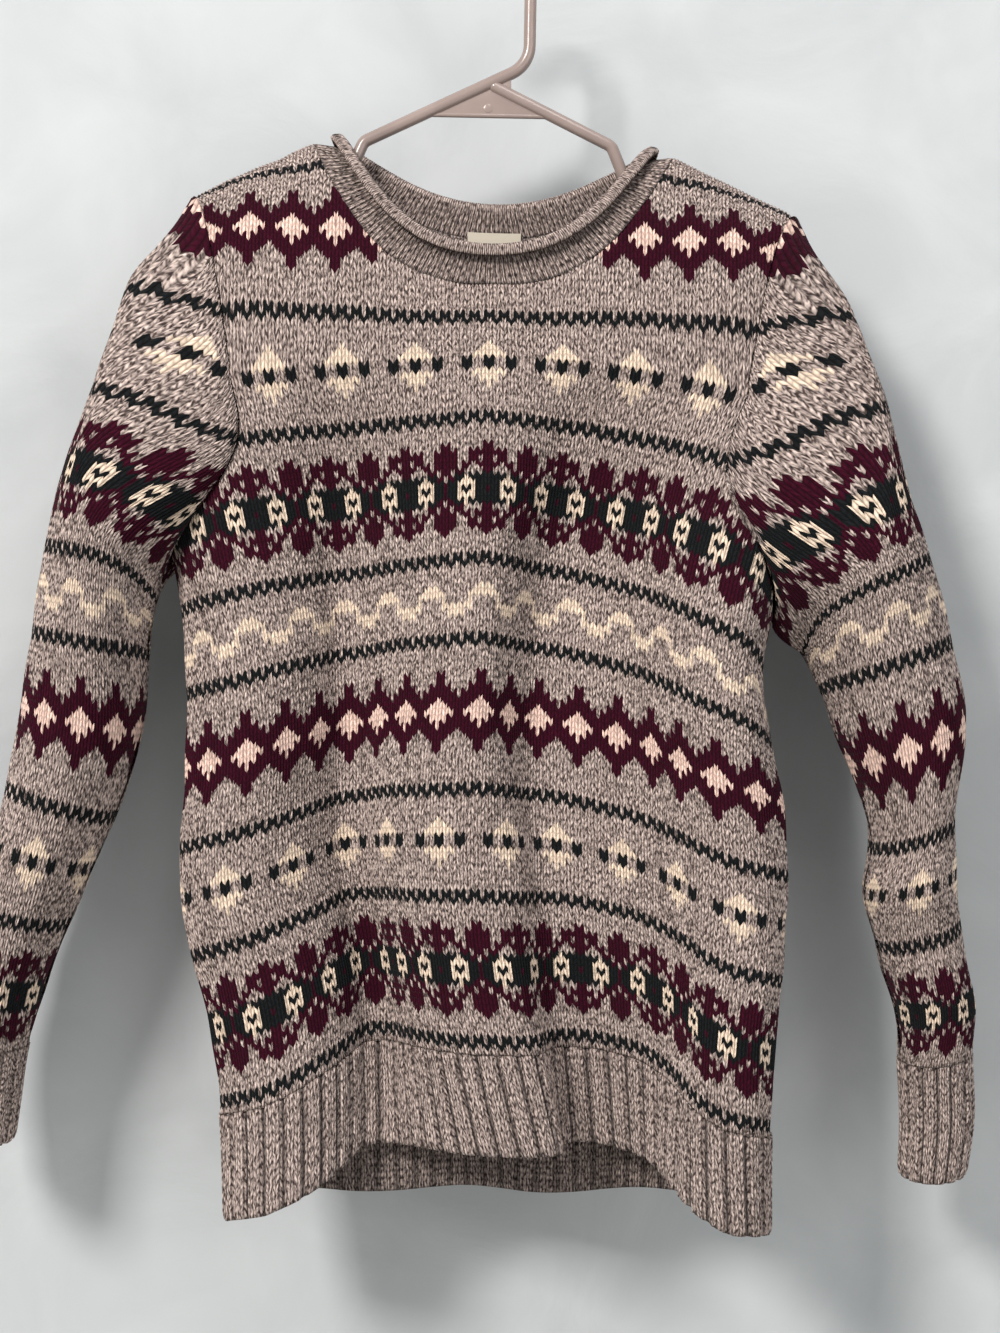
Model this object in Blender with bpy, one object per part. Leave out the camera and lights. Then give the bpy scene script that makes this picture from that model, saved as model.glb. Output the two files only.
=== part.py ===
"""Fair isle jumper hanging on a tubular plastic hanger.

The frame: +Z up, the front of the jumper faces -Y, +X is to the right of somebody who
looks at the front. The origin is the point of the hook that rests on a rail or peg.

Cloth is laid out in stitches before it hangs: s counts stitches from the middle of a
panel or sleeve, t counts rows up from its lower edge. A map takes (s, t) to a place in
space, in millimetres, and every panel is a wall on that map.
"""

import math

import bmesh
import bpy
import numpy as np
from mathutils import Matrix, Vector

MM = 0.001

for old in list(bpy.data.objects):
    bpy.data.objects.remove(old, do_unlink=True)

# ---- driving dimensions of the knitting, in stitches, rows and millimetres -------------
ROW = 3.85              # height of one row
HALF_BODY = 54          # stitches from the middle of a panel to its side seam
WELT_ROWS = 16          # ribbed welt at the hem
UNDERARM = 104          # row where the armhole starts
CHEST = 128             # row above which the cloth bends back over the hanger
SHOULDER_TIP = 167      # row at the outer end of the shoulder seam
SHOULDER_NECK = 174     # row at the neck end of the shoulder seam
ARMHOLE_HALF = 35.3     # stitches from the middle to the armhole where it is narrowest
TIP_HALF = 42.6         # stitches from the middle to the shoulder tip
NECK_HALF = 24.9        # stitches from the middle to the neck
TOP_GAUGE = 4.72        # width of a stitch at the shoulders
TOP_MIDDLE = 3          # x of the middle of the panels at the shoulders
FRONT_NECK = (140.8, 2.3)   # lowest row of the front neck edge, squareness of its scoop
BACK_NECK = (159, 2.0)      # the same of the back neck edge
FRONT_HEM = -752        # height of the front hem in the middle
BACK_LOWER = 35         # how much lower the back hangs in the middle
WALL = 3.0              # thickness of the knitted cloth
RIB_RISE = 1.3          # how far a rib stands out
RIB = 3                 # stitches in one rib and its groove
SEAM_GAP = 0.3          # gap between two pieces at a seam
RIM_ORDER = Vector((0.31, 0.52, 0.79))

# ---- driving dimensions of the hanger, in millimetres ----------------------------------
TUBE = 4.0              # radius of the arms
HOOK_ROD = 3.6          # radius of the hook's rod
HOOK_RADIUS = 26        # bend radius of the hook's centre line
HOOK_TIP = (-24.4, -13.5)   # x and z of the hook's tip
ARM_SLOPE = 25.9        # slope of an arm, from the middle to the strap notch, in degrees
END_SLOPE = 24.5        # slope from the notch to the end
NOTCH_X = 88            # distance from the middle to the strap notch
ARM_REACH = 187         # distance from the middle to the end of an arm
JUNCTION = -77.5        # height of the point where the arms meet
BAR_HEIGHT = -190       # height of the lower bar
WEB = ((-41, -98), (41, -98), (14.5, -86), (14.5, -72), (0, -79))   # x and z of the web
WEB_THICK = 2.4
TILT = 1.1              # the hanger hangs this many degrees lower on the right
CLOTH_RISE = 9          # top of the cloth above the top of an arm

# ---- how the front hangs: one row for each level ---------------------------------------
# row from the hem | stitch width | x and y of the middle | angle of the cloth to the
# plane of the hanger, in degrees, every 6 stitches from stitch -51 to +51: a positive
# angle runs back to the right, so a valley lies where the sign turns from + to -.
ANGLE_AT = np.arange(-51, 52, 6)
FRONT_LEVELS = (
    (0, 4.35, 18, -82, (-55, -25, 30, 56, 60, -48, -44, -30, -10,
                        8, 105, 35, -36, -54, -74, -52, 0, 60)),
    (30, 4.38, -6, -78, (-48, -18, 28, 48, 66, -66, -64, -46, -20,
                         8, 72, 22, -26, -38, -56, -68, -20, 55)),
    (50, 4.40, -10, -72, (-46, -16, 28, 44, 56, -60, -56, -40, -12,
                          26, 66, 2, -26, -34, -54, -46, 0, 52)),
    (70, 4.40, -7, -64, (-48, -22, 32, 44, 60, -54, -46, -40, -16,
                         54, 54, -14, -22, -36, -60, -42, 8, 52)),
    (107, 4.42, -2, -48, (-60, -32, -6, 22, 42, -22, -30, -24, -12,
                          28, 48, 8, -24, -46, -50, -24, 40, 80)),
    (128, 4.62, -1, -42, (-38, -26, -16, -8, -2, 0, 0, 0, 0,
                          0, 0, 0, 0, 2, 8, 16, 28, 40)),
)
# how the back hangs, seen from the front: it turns back from the left side seam, runs
# across in shallow waves and comes forward to the right side seam
BACK_LEVELS = (
    (0, (82, 62, 10, -16, -24, 6, 24, 18, -20, -28, 8, 26, 14, -18, -10, -38, -72, -86)),
    (30, (82, 60, 8, -12, -16, 6, 18, 10, -14, -20, 6, 18, 10, -12, -14, -46, -78, -88)),
    (50, (82, 50, 6, -8, -10, 4, 12, 6, -10, -14, 4, 12, 6, -8, -14, -44, -76, -88)),
    (70, (82, 42, 6, -6, -6, 4, 8, 4, -8, -8, 4, 8, 4, -6, -12, -34, -70, -86)),
    (107, (44, 10, 2, -2, -4, 2, 4, 2, -2, -4, 2, 4, 2, -2, -6, -14, -40, -70)),
    (128, (20, 5, 1, 0, 0, 0, 0, 0, 0, 0, 0, 0, 0, 0, -1, -2, -6, -18)),
)
# how much lower than its middle each wale hangs, in millimetres: one row for each level
DROP_AT = (-54, -45, -36, -27, -15, 0, 15, 27, 36, 45, 54)
DROP_LEVELS = (
    (0, (46, 36, 19, 3, 0, 0, 0, 6, 18, 38, 44)),
    (30, (44, 34, 16, 4, 1, 0, 3, 10, 22, 38, 48)),
    (50, (42, 32, 20, 9, 3, 0, 7, 17, 28, 44, 52)),
    (70, (38, 31, 20, 12, 4, 0, 8, 20, 31, 46, 58)),
    (107, (30, 23, 16, 10, 5, 0, 8, 20, 32, 50, 72)),
    (128, (22, 17, 12, 8, 4, 0, 5, 14, 24, 33, 42)),
)

# ---- the sleeves, as rings: one row for each section ------------------------------------
# row from the cuff edge | centre x, y, z | half width | half depth | slope of the row in
# degrees, lower on the body's side
SLEEVE_CUFF_ROWS = 20
CUFF_STITCHES = 45
SLEEVE_STITCHES = 74
CAP_TOP = 151
LEFT_SLEEVE = (
    (0, -329, -6, -756, 21, 34, 6),
    (10, -328, -4, -724, 24, 37, 8),
    (20, -325, -2, -694, 25, 42, 10),
    (30, -315, -2, -656, 26, 48, 12),
    (41, -301, -2, -612, 28, 52, 14),
    (58, -277, -2, -540, 33, 54, 18),
    (70, -264, -2, -489, 37, 55, 14),
    (82, -258, -2, -438, 36, 58, 11),
    (95, -250, -4, -384, 34, 60, 12),
    (104, -241, -6, -346, 34, 56, 16),
    (118, -219, -10, -290, 36, 44, 20),
    (135, -206, -8, -226, 29, 30, 22),
    (151, -202, 2, -160, 16, 18, 20),
)
RIGHT_SLEEVE = (
    (0, 283, -8, -778, 20, 34, 6),
    (10, 287, -4, -740, 22, 36, 8),
    (20, 286, -2, -704, 22, 41, 10),
    (30, 285, -4, -668, 24, 46, 12),
    (36, 279, -2, -646, 25, 50, 14),
    (41, 275, -2, -626, 25, 48, 17),
    (50, 269, -4, -592, 28, 54, 16),
    (58, 271, -2, -562, 25, 52, 20),
    (70, 268, -2, -506, 36, 54, 20),
    (82, 254, -2, -452, 41, 56, 20),
    (95, 240, -10, -402, 40, 58, 24),
    (104, 230, -18, -371, 38, 52, 26),
    (118, 217, -10, -306, 36, 44, 26),
    (135, 209, -8, -242, 25, 30, 22),
    (151, 208, 0, -176, 13, 18, 20),
)

# ---- the neckband: its ribbed stand, and the edge that rolls outward ---------------------
BAND_WALL = 2.8
BAND_STAND = 15         # width of the ribbed part
ROLL_RADIUS = 4.6       # radius of the rolled edge, along the middle of its wall

# ---- the label at the inside back neck -------------------------------------------------
LABEL_WIDTH = 36
LABEL_HEIGHT = 18
LABEL_THICK = 0.8
LABEL_STITCH = 0.4      # its middle, in stitches from the middle of the back


# ======================================================================================
# The map from stitches to space
# ======================================================================================
def spline_weights(knots, at):
    """Weights of a natural cubic spline: one row for each place, one column a knot."""
    knots = np.asarray(knots, float)
    count = len(knots)
    step = np.diff(knots)
    system = np.eye(count)
    right = np.zeros((count, count))
    for i in range(1, count - 1):
        system[i, i - 1:i + 2] = step[i - 1], 2 * (step[i - 1] + step[i]), step[i]
        right[i, i - 1:i + 2] = 6 / step[i - 1], -6 / step[i - 1] - 6 / step[i], 6 / step[i]
    bend = np.linalg.solve(system, right)
    at = np.clip(np.asarray(at, float), knots[0], knots[-1])
    left = np.clip(np.searchsorted(knots, at, side="right") - 1, 0, count - 2)
    b = ((at - knots[left]) / step[left])[..., None]
    a = 1 - b
    curve = (step[left] ** 2 / 6)[..., None]
    unit = np.eye(count)
    return (a * unit[left] + b * unit[left + 1]
            + curve * ((a ** 3 - a) * bend[left] + (b ** 3 - b) * bend[left + 1]))


STEP = 0.25                                             # stitches between curve points
ALONG = np.arange(-HALF_BODY, HALF_BODY + STEP / 2, STEP)
LEVELS = [level[0] for level in FRONT_LEVELS]


def walk(angles, width):
    """A course of stitches of one width, laid at the angles, from its first stitch."""
    angle = np.radians(np.interp(ALONG, ANGLE_AT, angles))
    middle = (angle[1:] + angle[:-1]) / 2
    x = np.concatenate([[0], np.cumsum(np.cos(middle))]) * STEP * width
    y = np.concatenate([[0], np.cumsum(np.sin(middle))]) * STEP * width
    return np.stack([x, y, np.zeros_like(x)], axis=1)


def front_courses():
    """The front's curve at each level; z is how far it lies below the middle."""
    curves = []
    for (_, width, x, y, angles), (_, drops) in zip(FRONT_LEVELS, DROP_LEVELS):
        curve = walk(angles, width)
        curve += np.array([x, y, 0]) - curve[len(curve) // 2]
        curve[:, 2] = -np.interp(ALONG, DROP_AT, drops)
        curves.append(curve)
    return np.array(curves)


def back_courses(front):
    """The back's curve at each level, from one side seam of the front to the other."""
    curves = []
    share = np.linspace(0, 1, len(ALONG))[:, None]
    for (_, width, *_), (_, angles), seams in zip(FRONT_LEVELS, BACK_LEVELS, front):
        curve = walk(angles, width)
        curve += seams[0] - curve[0]
        curve += share * (seams[-1] - curve[-1])
        sag = 1 - (np.abs(ALONG) / HALF_BODY) ** 4
        curve[:, 2] = seams[0, 2] + share[:, 0] * (seams[-1, 2] - seams[0, 2])
        curve[:, 2] = curve[:, 2] * (1 - sag) - BACK_LOWER * sag
        curves.append(curve)
    return np.array(curves)


FRONT_COURSES = front_courses()
BACK_COURSES = back_courses(FRONT_COURSES)


def hanging(courses, s, t):
    """Where the cloth hangs below the chest row."""
    weights = spline_weights(LEVELS, t)
    place = np.zeros(s.shape + (3,))
    for level, curve in enumerate(courses):
        for axis in range(3):
            place[..., axis] += weights[..., level] * np.interp(s, ALONG, curve[:, axis])
    place[..., 2] += FRONT_HEM + ROW * t
    return place


def arm_line(x):
    """Height of an arm's centre line, without the tilt."""
    inner = np.minimum(np.abs(x), NOTCH_X) * math.tan(math.radians(ARM_SLOPE))
    outer = np.maximum(np.abs(x) - NOTCH_X, 0) * math.tan(math.radians(END_SLOPE))
    return JUNCTION - inner - outer


def ridge(x):
    """Height of the cloth where it crosses the arms of the hanger."""
    lean = math.tan(math.radians(TILT))
    return arm_line(x - arm_line(x) * lean) - x * lean + TUBE + CLOTH_RISE


def seam_row(s):
    """Row of the shoulder seam."""
    run = (np.abs(s) - NECK_HALF) / (TIP_HALF - NECK_HALF)
    return SHOULDER_NECK - np.maximum(run, 0) * (SHOULDER_NECK - SHOULDER_TIP)


def neck_row(s, scoop):
    """Row of the neck edge: a rounded scoop from shoulder to shoulder."""
    lowest, power = scoop
    reach = np.clip(np.abs(s) / NECK_HALF, 0, 1)
    return SHOULDER_NECK - (SHOULDER_NECK - lowest) * (1 - reach ** power) ** (1 / power)


def panel_half(t):
    """Half width of a panel: straight to the underarm, then the armhole curve."""
    scoop = (HALF_BODY - ARMHOLE_HALF) * np.clip((UNDERARM + 20 - t) / 20, 0, 1) ** 2.4
    flare = (TIP_HALF - ARMHOLE_HALF) * np.clip((t - 129) / (SHOULDER_TIP - 129), 0, 1)
    return ARMHOLE_HALF + scoop + flare


def bezier(u, p0, p1, p2, p3):
    v = 1 - u
    return v ** 3 * p0 + 3 * v * v * u * p1 + 3 * v * u * u * p2 + u ** 3 * p3


# y and height above or below the ridge of the last two control points of the bend over
# the hanger; the seam is the last one, just behind the ridge
SEAM = (14, -6)
FRONT_BEND = (-12, 22)
BACK_BEND = (22, -17)


def panel(courses, bend, first_y, lift, s, t):
    """Where a panel of the body lies: hanging, then bent over the hanger to the seam. The
    rows climb slowly below the neck and faster towards the armholes."""
    s, t = np.broadcast_arrays(np.asarray(s, float), np.asarray(t, float))
    place = hanging(courses, s, np.minimum(t, CHEST))
    u = np.clip((t - CHEST) / (seam_row(s) - CHEST), 0, 1)
    u = u + u * (1 - u) * (0.35 * (0.25 - u) - 0.5 * np.clip(1 - (s / 33) ** 2, 0, 1))
    top_x = TOP_MIDDLE + TOP_GAUGE * s
    neck = TOP_MIDDLE + TOP_GAUGE * np.array([-20, 20])
    top = np.where(np.abs(s) < 20, np.interp(s, (-20, 20), ridge(neck)), ridge(top_x))
    x, y, z = place[..., 0], place[..., 1], place[..., 2]
    rise = top - z
    above = np.stack([x + (top_x - x) * u ** 1.5,
                      bezier(u, y, y + first_y, bend[0], SEAM[0]),
                      bezier(u, z, z + lift * rise, top + bend[1], top + SEAM[1])], axis=-1)
    return np.where((t > CHEST)[..., None], above, place)


def front_map(s, t):
    return panel(FRONT_COURSES, FRONT_BEND, 0, 0.6, s, t)


def back_map(s, t):
    return panel(BACK_COURSES, BACK_BEND, 4, 0.4, s, t)


def cap_row(s):
    """Top row of a sleeve at s stitches from its top line."""
    return UNDERARM + (CAP_TOP - UNDERARM) * (1 - np.abs(s) / (SLEEVE_STITCHES / 2)) ** 1.33


def body_row(t):
    """Row of the body's armhole that a row of the sleeve cap is sewn to."""
    return np.where(t < 144, t, 144 + (t - 144) * (SHOULDER_TIP - 144) / (CAP_TOP - 144))


def sleeve_rings(table, turn, t):
    """A place on the sleeve's plain rings. turn runs from 0 on the body's side, over the
    front, to 0.5 on the outer side."""
    table = np.array(table, float)
    row = spline_weights(table[:, 0], t) @ table[:, 1:]
    x, y, z, wide, deep, slope = np.moveaxis(row, -1, 0)
    side = np.sign(table[0, 1])
    inward = np.cos(2 * np.pi * turn)
    return np.stack([x - side * wide * inward,
                     y - deep * np.sin(2 * np.pi * turn),
                     z - wide * np.tan(np.radians(slope)) * inward], axis=-1)


def stitch_of(turn):
    """Stitches from a sleeve's top line, for a place round the sleeve."""
    return SLEEVE_STITCHES * np.abs(turn - 0.5)


def slope_normal(cloth, s, t, along=1.0, up=2.0):
    """Normal of a map, from small steps along and up the cloth."""
    across = cloth(s + along, t) - cloth(s - along, t)
    upward = cloth(s, t + up) - cloth(s, t - up)
    return unit(np.cross(across, upward))


def unit(vectors):
    return vectors / np.maximum(np.linalg.norm(vectors, axis=-1, keepdims=True), 1e-9)


def sleeve_map(table, turn, t):
    """Where a sleeve lies: its rings, drawn to the armhole near the seam."""
    turn, t = np.broadcast_arrays(np.asarray(turn, float) % 1, np.asarray(t, float))
    side = np.sign(table[0][1])
    top = cap_row(stitch_of(turn))
    row = body_row(top)
    edge = side * panel_half(row)
    goal = np.where((turn < 0.5)[..., None], front_map(edge, row), back_map(edge, row))
    pull = goal - sleeve_rings(table, turn, top)
    shorter = 12 * np.clip((top - 135) / (CAP_TOP - 135), 0, 1)
    sideways = 9 + 17 * np.clip((top - UNDERARM) / 20, 0, 1) - shorter
    reach = np.stack([sideways, sideways, 26 - shorter], axis=-1)
    near = np.clip(1 - (top - t)[..., None] / reach, 0, 1)
    return sleeve_rings(table, turn, t) + pull * near ** 2 * (3 - 2 * near)


# ======================================================================================
# Building walls
# ======================================================================================
def material(name, colour, roughness):
    made = bpy.data.materials.new(name)
    made.use_nodes = True
    shader = made.node_tree.nodes["Principled BSDF"]
    shader.inputs["Base Color"].default_value = (*colour, 1)
    shader.inputs["Roughness"].default_value = roughness
    shader.inputs["Metallic"].default_value = 0
    return made


WOOL = material("wool", (0.30, 0.26, 0.23), 0.95)
RIBBING = material("ribbing", (0.26, 0.22, 0.20), 0.95)
TAPE = material("tape", (0.62, 0.56, 0.46), 0.8)
PLASTIC = material("plastic", (0.33, 0.26, 0.24), 0.35)


def finish(bm, name, finish_material, sharp=50):
    """Puts a bmesh that is in millimetres into the scene as one named object."""
    bmesh.ops.scale(bm, vec=(MM, MM, MM), verts=bm.verts)
    bmesh.ops.recalc_face_normals(bm, faces=bm.faces)
    mesh = bpy.data.meshes.new(name)
    bm.to_mesh(mesh)
    bm.free()
    mesh.shade_smooth()
    mesh.set_sharp_from_angle(angle=math.radians(sharp))
    mesh.materials.append(finish_material)
    made = bpy.data.objects.new(name, mesh)
    bpy.context.collection.objects.link(made)
    return made


def rim(bm, near, far, far_inner, near_inner):
    """A piece of a wall's edge. Its diagonal starts at the outer corner that lies further
    along one direction, so the two sides of a seam are cut alike."""
    if near.co.dot(RIM_ORDER) > far.co.dot(RIM_ORDER):
        triangles = (near, far, far_inner), (near, far_inner, near_inner)
    else:
        triangles = (near, far, near_inner), (far, far_inner, near_inner)
    for triangle in triangles:
        bm.faces.new(triangle)


def wall(name, outer, inner, finish_material, closed=False):
    """A closed wall between an outer and an inner grid of points. The first direction
    of the grid runs round the garment, and joins up on a closed piece."""
    bm = bmesh.new()
    count, height = outer.shape[:2]
    skins = [[[bm.verts.new(p) for p in column] for column in grid] for grid in (outer, inner)]
    for i in range(count if closed else count - 1):
        k = (i + 1) % count
        for j in range(height - 1):
            for skin in skins:
                bm.faces.new((skin[i][j], skin[k][j], skin[k][j + 1], skin[i][j + 1]))
        for j in (0, height - 1):
            rim(bm, skins[0][i][j], skins[0][k][j], skins[1][k][j], skins[1][i][j])
    if not closed:
        for i in (0, count - 1):
            for j in range(height - 1):
                rim(bm, skins[0][i][j], skins[0][i][j + 1], skins[1][i][j + 1], skins[1][i][j])
    return finish(bm, name, finish_material)


# ======================================================================================
# The seams. Each is a row of places with the normal that both its pieces share, so that
# their edges stay parallel, and the direction across it from one piece to the other.
# ======================================================================================
NECK_COLUMNS = 12                             # columns from the middle to the neck point
TIP_COLUMNS = 8                               # columns from there to the shoulder tip
HALF_STATIONS = np.concatenate([
    NECK_HALF * np.sin(np.linspace(0, np.pi / 2, NECK_COLUMNS + 1)[1:]) ** 0.87,
    np.linspace(NECK_HALF, TIP_HALF, TIP_COLUMNS + 1)[1:]])
STATIONS = np.concatenate([-HALF_STATIONS[::-1], [0], HALF_STATIONS])
NECK_STATIONS = STATIONS[TIP_COLUMNS:-TIP_COLUMNS]
LOWER_ROWS = np.linspace(WELT_ROWS, UNDERARM, 10)
ARMHOLE_ROWS = np.array([UNDERARM, 106, 109, 113, 118, 123.5, 129, 135, 141, 147, 152.5, 157.5, 162,
                         SHOULDER_TIP])
PANEL_ROWS = np.concatenate([LOWER_ROWS, ARMHOLE_ROWS[1:]])
OUTWARD = {front_map: 1, back_map: -1}        # which way a map's own normal is turned


def stations_at(t):
    """Stitches of the columns at rows t: spread out below the armholes."""
    half = panel_half(t)
    spread = 1 + (HALF_BODY / TIP_HALF - 1) * np.clip((half - TIP_HALF) / (HALF_BODY - TIP_HALF), 0, 1)
    inner = np.clip(np.abs(STATIONS), 0, NECK_HALF)[:, None]
    outer = np.clip(np.abs(STATIONS) - NECK_HALF, 0, None)[:, None] / (TIP_HALF - NECK_HALF)
    return np.sign(STATIONS)[:, None] * (inner * spread + outer * (half - NECK_HALF * spread))


def cloth_normal(cloth, s, t):
    return slope_normal(cloth, s, t) * OUTWARD[cloth]


def side_normals(side, t):
    """Shared normals of the front and the back at a side seam."""
    t = np.minimum(t, UNDERARM)
    s = np.full_like(t, side * (HALF_BODY - 0.6))
    return unit(cloth_normal(front_map, s, t) + cloth_normal(back_map, s, t))


def shoulder_normals(s):
    """Shared normals of the front and the back at the shoulder seams."""
    return unit(cloth_normal(front_map, s, seam_row(s)) + cloth_normal(back_map, s, seam_row(s)))


def cap_turns():
    """Places round a sleeve that meet the rows of the armhole: from the underarm over
    the front to the shoulder tip, and down the back."""
    cap = np.where(ARMHOLE_ROWS < 144, ARMHOLE_ROWS,
                   144 + (ARMHOLE_ROWS - 144) * (CAP_TOP - 144) / (SHOULDER_TIP - 144))
    turn = 0.5 * ((cap - UNDERARM) / (CAP_TOP - UNDERARM)) ** (1 / 1.33)
    return np.concatenate([turn, 1 - turn[-2:0:-1]])


TURNS = cap_turns()


def armhole_seam(side, table):
    """The armhole from the underarm over the front and down the back. The body and the
    sleeve share their normals, except where the cloth folds back on itself below."""
    count = len(ARMHOLE_ROWS)
    s = side * panel_half(ARMHOLE_ROWS)
    inside = s - side * 0.6
    places, normals = [], []
    for cloth in (front_map, back_map):
        places.append(cloth(s, ARMHOLE_ROWS))
        normals.append(cloth_normal(cloth, inside, ARMHOLE_ROWS))
    place = np.concatenate([places[0], places[1][-2:0:-1]])
    body = np.concatenate([normals[0], normals[1][-2:0:-1]])
    body[0] = unit(normals[0][0] + normals[1][0])
    body[count - 1] = unit(normals[0][-1] + normals[1][-1])
    top = cap_row(stitch_of(TURNS))
    rings = unit(np.cross(sleeve_map(table, TURNS + 0.01, top - 4)
                          - sleeve_map(table, TURNS - 0.01, top - 4),
                          sleeve_map(table, TURNS, top - 3)
                          - sleeve_map(table, TURNS, top - 5))) * side
    down = np.zeros_like(place)
    low = np.concatenate([ARMHOLE_ROWS, ARMHOLE_ROWS[-2:0:-1]])
    down[:, 2] = -0.5 * np.clip(1 - (low - UNDERARM) / 12, 0, 1)
    along = np.roll(place, -1, axis=0) - np.roll(place, 1, axis=0)
    across = unit(np.cross(unit(body + rings + down), along)) * -side
    fold = np.sum(rings * unit(np.cross(body, along)) * -side, axis=1, keepdims=True)
    facing = np.sum(rings * body, axis=1, keepdims=True)
    share = np.clip(1 + 2 * fold, 0, 1) * np.clip(1 + 2 * facing, 0, 1)
    return place, unit(body + share * rings), unit(rings + share * body), across


def neck_seam():
    """The neck edge: along the front from left to right, and back along the back."""
    places, normals = [], []
    for cloth, scoop in ((front_map, FRONT_NECK), (back_map, BACK_NECK)):
        row = neck_row(NECK_STATIONS, scoop)
        places.append(cloth(NECK_STATIONS, row))
        normals.append(cloth_normal(cloth, NECK_STATIONS, row))
    place = np.concatenate([places[0], places[1][-2:0:-1]])
    shared = np.concatenate([normals[0], normals[1][-2:0:-1]])
    for corner, end in ((0, 0), (2 * NECK_COLUMNS, -1)):
        shared[corner] = unit(normals[0][end] + normals[1][end])
    along = np.roll(place, -1, axis=0) - np.roll(place, 1, axis=0)
    return place, shared, unit(np.cross(shared, along))


ARMHOLES = {-1: armhole_seam(-1, LEFT_SLEEVE), 1: armhole_seam(1, RIGHT_SLEEVE)}
NECK = neck_seam()


# ======================================================================================
# Front and back
# ======================================================================================
def body_panel(name, cloth, scoop):
    """A panel of the body, from the welt to the shoulders, as a wall on its map."""
    column = np.arange(len(STATIONS)) - len(STATIONS) // 2
    top_row = np.where(np.abs(column) < NECK_COLUMNS,
                       neck_row(STATIONS, scoop), seam_row(STATIONS))[:, None]
    rise = (PANEL_ROWS - WELT_ROWS) / (SHOULDER_TIP - WELT_ROWS)
    t = WELT_ROWS + rise * (top_row - WELT_ROWS)
    s = stations_at(PANEL_ROWS)
    outer = cloth(s, t)
    normals = cloth_normal(cloth, s, t)
    half_gap = SEAM_GAP / 2
    shift = np.zeros_like(outer)
    for side, end in ((-1, 0), (1, -1)):
        low = PANEL_ROWS < UNDERARM
        normals[end, low] = side_normals(side, PANEL_ROWS[low])
        inside = unit(cloth(side * (HALF_BODY - 1.0), PANEL_ROWS)
                      - cloth(side * (HALF_BODY + 0.0), PANEL_ROWS))
        shift[end, low] = inside[low] * half_gap
        _, armhole_normals, _, across = ARMHOLES[side]
        count = len(ARMHOLE_ROWS)
        order = np.arange(count) if cloth is front_map else -np.arange(count)
        high = ~low
        normals[end, high] = armhole_normals[order]
        shift[end, high] = -across[order] * half_gap
        shift[end, len(LOWER_ROWS) - 1] += inside[len(LOWER_ROWS) - 1] * half_gap
    upward = unit(outer[:, -1] - outer[:, -2])
    shift[:, -1] -= upward * half_gap
    shoulder = (np.abs(column) >= NECK_COLUMNS) & (np.abs(STATIONS) < TIP_HALF)
    normals[shoulder, -1] = shoulder_normals(STATIONS[shoulder])
    _, shared, inward = NECK
    loop = (column[np.abs(column) <= NECK_COLUMNS] + NECK_COLUMNS)
    order = loop if cloth is front_map else -loop
    neck = np.abs(column) <= NECK_COLUMNS
    normals[neck, -1] = shared[order]
    shift[neck, -1] = -inward[order] * half_gap
    for corner in (-NECK_COLUMNS, NECK_COLUMNS):
        shift[column == corner, -1] -= upward[column == corner] * half_gap
    outer = outer + shift
    return wall(name, outer, outer - normals * WALL, WOOL)


def welt(name, cloth):
    """The ribbed welt: ribs stand out of the wall's outer side over a plain inside."""
    s = np.arange(-HALF_BODY, HALF_BODY + 1, 1.0)[:, None]
    t = np.array([0, WELT_ROWS / 2, WELT_ROWS - SEAM_GAP / ROW])[None, :]
    rise = np.where(np.arange(len(s)) % RIB == 0, 0, RIB_RISE)[:, None, None]
    plain = cloth(s, t)
    normals = cloth_normal(cloth, s, t)
    columns = STATIONS / TIP_HALF * HALF_BODY
    edge = cloth(columns, t[0, -1]), cloth_normal(cloth, columns, t[0, -1])
    for axis in range(3):
        plain[:, -1, axis] = np.interp(s[:, 0], columns, edge[0][:, axis])
        normals[:, -1, axis] = np.interp(s[:, 0], columns, edge[1][:, axis])
    for side, end in ((-1, 0), (1, -1)):
        normals[end] = side_normals(side, t[0])
        plain[end] += unit(plain[end - side] - plain[end]) * SEAM_GAP / 2
    outer = plain + normals * (rise - RIB_RISE * 0.5)
    return wall(name, outer, plain - normals * WALL, RIBBING)


# ======================================================================================
# Sleeves and cuffs
# ======================================================================================
def sleeve_normal(table, turn, t):
    across = sleeve_map(table, turn + 0.006, t) - sleeve_map(table, turn - 0.006, t)
    upward = sleeve_map(table, turn, t + 0.5) - sleeve_map(table, turn, t - 0.5)
    return unit(np.cross(across, upward)) * np.sign(table[0][1])


def sleeve(name, table, rows=14):
    side = int(np.sign(table[0][1]))
    turn = TURNS[:, None]
    share = np.linspace(0, 1, rows + 1)[None, :]
    t = SLEEVE_CUFF_ROWS + share * (cap_row(stitch_of(turn)) - SLEEVE_CUFF_ROWS)
    outer = sleeve_map(table, turn, t)
    normals = sleeve_normal(table, turn, t)
    _, _, normals[:, -1], across = ARMHOLES[side]
    outer[:, -1] += across * SEAM_GAP / 2
    return wall(name, outer, outer - normals * WALL, WOOL, closed=True)


def cuff(name, table):
    turn = (np.arange(CUFF_STITCHES) / CUFF_STITCHES)[:, None]
    t = np.array([0, SLEEVE_CUFF_ROWS / 2, SLEEVE_CUFF_ROWS - SEAM_GAP / ROW])[None, :]
    plain = sleeve_map(table, turn, t)
    normals = sleeve_normal(table, turn, t)
    rise = np.where(np.arange(CUFF_STITCHES) % RIB == 0, 0, RIB_RISE)[:, None, None]
    outer = plain + normals * (rise - RIB_RISE * 0.5)
    return wall(name, outer, plain - normals * WALL, RIBBING, closed=True)


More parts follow.
